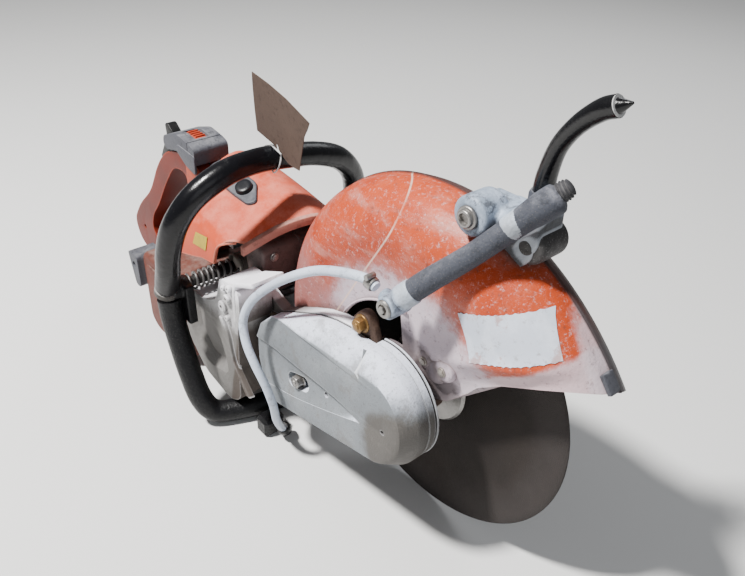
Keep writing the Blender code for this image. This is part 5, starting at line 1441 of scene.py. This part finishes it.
def tag():
    corner, across = Vector((-0.244, -0.046, 0.267)), Vector((0.097, -0.007, -0.009))
    down = Vector((-0.007, 0.015, -0.083))
    shape = [(0, 0), (0.30, 0.03), (0.62, 0.075), (1.08, 0.15), (1.02, 0.27), (0.94, 0.40),
             (0.83, 0.72), (0.74, 1.0), (0.62, 1.035), (0.48, 1.06), (0.32, 1.01), (0.18, 0.95),
             (0.0, 0.94), (-0.17, 0.92), (-0.12, 0.58), (-0.06, 0.26), (-0.03, 0.12)]
    face = across.cross(down).normalized()
    centre = Vector((sum(u for u, v in shape) / len(shape), sum(v for u, v in shape) / len(shape)))
    bm = bmesh.new()
    rings = []
    for grow in (1.0, 0.8, 0.6, 0.4, 0.2):
        ring = []
        for u, v in shape:
            u, v = centre.x + (u - centre.x) * grow, centre.y + (v - centre.y) * grow
            curl = 0.0030 * math.sin(2.4 * u + 1.1 * v) - 0.0014
            ring.append(corner + across * u + down * v + face * curl)
        rings.append(ring)
    verts = [[bm.verts.new(p) for p in ring] for ring in rings]
    for one, two in zip(verts, verts[1:]):
        for i in range(len(one)):
            j = (i + 1) % len(one)
            bm.faces.new((one[i], one[j], two[j], two[i]))
    bm.faces.new(verts[-1])
    made = piece("card_tag", bm, LOOKS["card"], "saw", ["hang_tag"], 60.0)
    step = made.modifiers.new("card", "SOLIDIFY")
    step.thickness, step.offset = 0.0008, 0.0
    settle(made, 60.0)
    loop = []
    for i in range(49):
        t = 2 * math.pi * i / 48
        loop.append(Vector((-0.2485 + 0.0158 * math.cos(t), -0.0250 + 0.0030 * math.sin(2 * t),
                            0.1635 + 0.0160 * math.sin(t))))
    wire = tube(loop, 0.0009, 8)
    top = corner + across * 0.30 + down * 0.97
    tube(smooth_path([(-0.2485, -0.0250, 0.1795), top + Vector((0.004, 0, -0.002)), top,
                      top + Vector((-0.006, 0.002, 0.010))], 6), 0.0009, 8, wire)
    piece("tag_wire", wire, LOOKS["white"], "saw", ["tag_tie"])


# ---------------------------------------------------------------- wheel and inner parts


def wheel():
    profile = [(0.0131, -0.0020), (0.060, -0.0020), (0.168, -0.0020), (0.1735, -0.0016),
               (0.1750, -0.0006), (0.1750, 0.0006), (0.1735, 0.0016), (0.168, 0.0020),
               (0.060, 0.0020), (0.0131, 0.0020)]
    piece("abrasive_disc", turned(profile, (0, 0, 0), (0, 1, 0), 160), LOOKS["wheel"], "wheel",
          ["cutting_wheel"])
    outer = [(0.0110, 0.0023), (0.0520, 0.0023), (0.0525, 0.0035), (0.0505, 0.0060),
             (0.0440, 0.0072), (0.0240, 0.0078), (0.0220, 0.0090), (0.0110, 0.0090)]
    piece("clamp_washer", turned(outer, (0, 0, 0), (0, 1, 0), 72), LOOKS["steel"], "wheel",
          ["outer_flange"])
    inner = [(0.0110, -0.0023), (0.0520, -0.0023), (0.0525, -0.0035), (0.0500, -0.0065),
             (0.0300, -0.0085), (0.0260, -0.0125), (0.0110, -0.0125)]
    piece("drive_washer", turned(inner, (0, 0, 0), (0, 1, 0), 72), LOOKS["steel"], "wheel",
          ["inner_flange"])
    nut = hex_bolt((0, 0.0093, 0), (0, 1, 0), 0.0100, 0.0090, 0.0150)
    ease_edges(piece("arbor_bolt", nut, LOOKS["steel"], "wheel", ["wheel_bolt"]),
               0.0004, 2)


def muffler():
    outline = rounded([(-0.250, 0.0), (-0.2215, 0.0), (-0.2215, 0.066), (-0.269, 0.072)],
                      0.010, 6)
    made = piece("muffler_box", prism(outline, -0.0620, 0.0450), LOOKS["burnt"], "saw",
                 ["muffler"])
    ease_edges(made, 0.0060, 5)
    seam = bmesh.new()
    ring = [Vector((x, -0.0080, z)) for x, z in outline]
    grown = [Vector((p.x + (0.0012 if p.x > -0.24 else -0.0012), p.y, p.z)) for p in ring]
    tube([*grown, grown[0]], 0.0013, 8, seam)
    piece("muffler_seam", seam, LOOKS["burnt"], "saw")
    pipe = turned([(0.0070, 0), (0.0090, 0), (0.0090, 0.0120), (0.0070, 0.0120)],
                  (-0.2225, 0.020, 0.020), (-0.2225 + 1, 0.020 + 0.5, 0.020 - 0.4), 32)
    piece("exhaust_outlet", pipe, LOOKS["burnt"], "saw")
    screws = bmesh.new()
    for y, z in ((-0.046, 0.054), (-0.046, 0.012), (0.030, 0.054)):
        hex_bolt((-0.2212, y, z), (1, 0, 0), 0.0042, 0.0034, 0.0055, screws)
    piece("muffler_screws", screws, LOOKS["steel"], "saw")


INNER = dict(
    crankcase="alloy", cylinder="alloy", piston="alloy", spark_plug="white", carburettor="alloy",
    air_filter="dark", ignition_coil="dark", crankshaft="steel", clutch_drum="steel",
    flywheel="alloy", spindle="steel", driven_pulley="steel", drive_belt="dark",
    cast_arm="arm", choke_lever="dark", starter_drum="dark", frame_foot="leg")


def inner_parts():
    for name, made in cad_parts.items():
        if made.hide_render:
            continue
        look = LOOKS[INNER.get(name, "steel")]
        made.data.materials.clear()
        made.data.materials.append(look)
        made.data.shade_smooth()
        made.data.set_sharp_from_angle(angle=math.radians(35))


camera()
studio()
guard_shell()
guard_details()
guard_fittings()
hose_end()
water_hose()
belt_cover()
arm()
casing()
shroud()
cover_tongue()
release()
rear_handle()
controls()
tank()
starter()
starter_pull()
front_bar()
mount_spring()
rear_ear()
tag()
wheel()
muffler()
inner_parts()
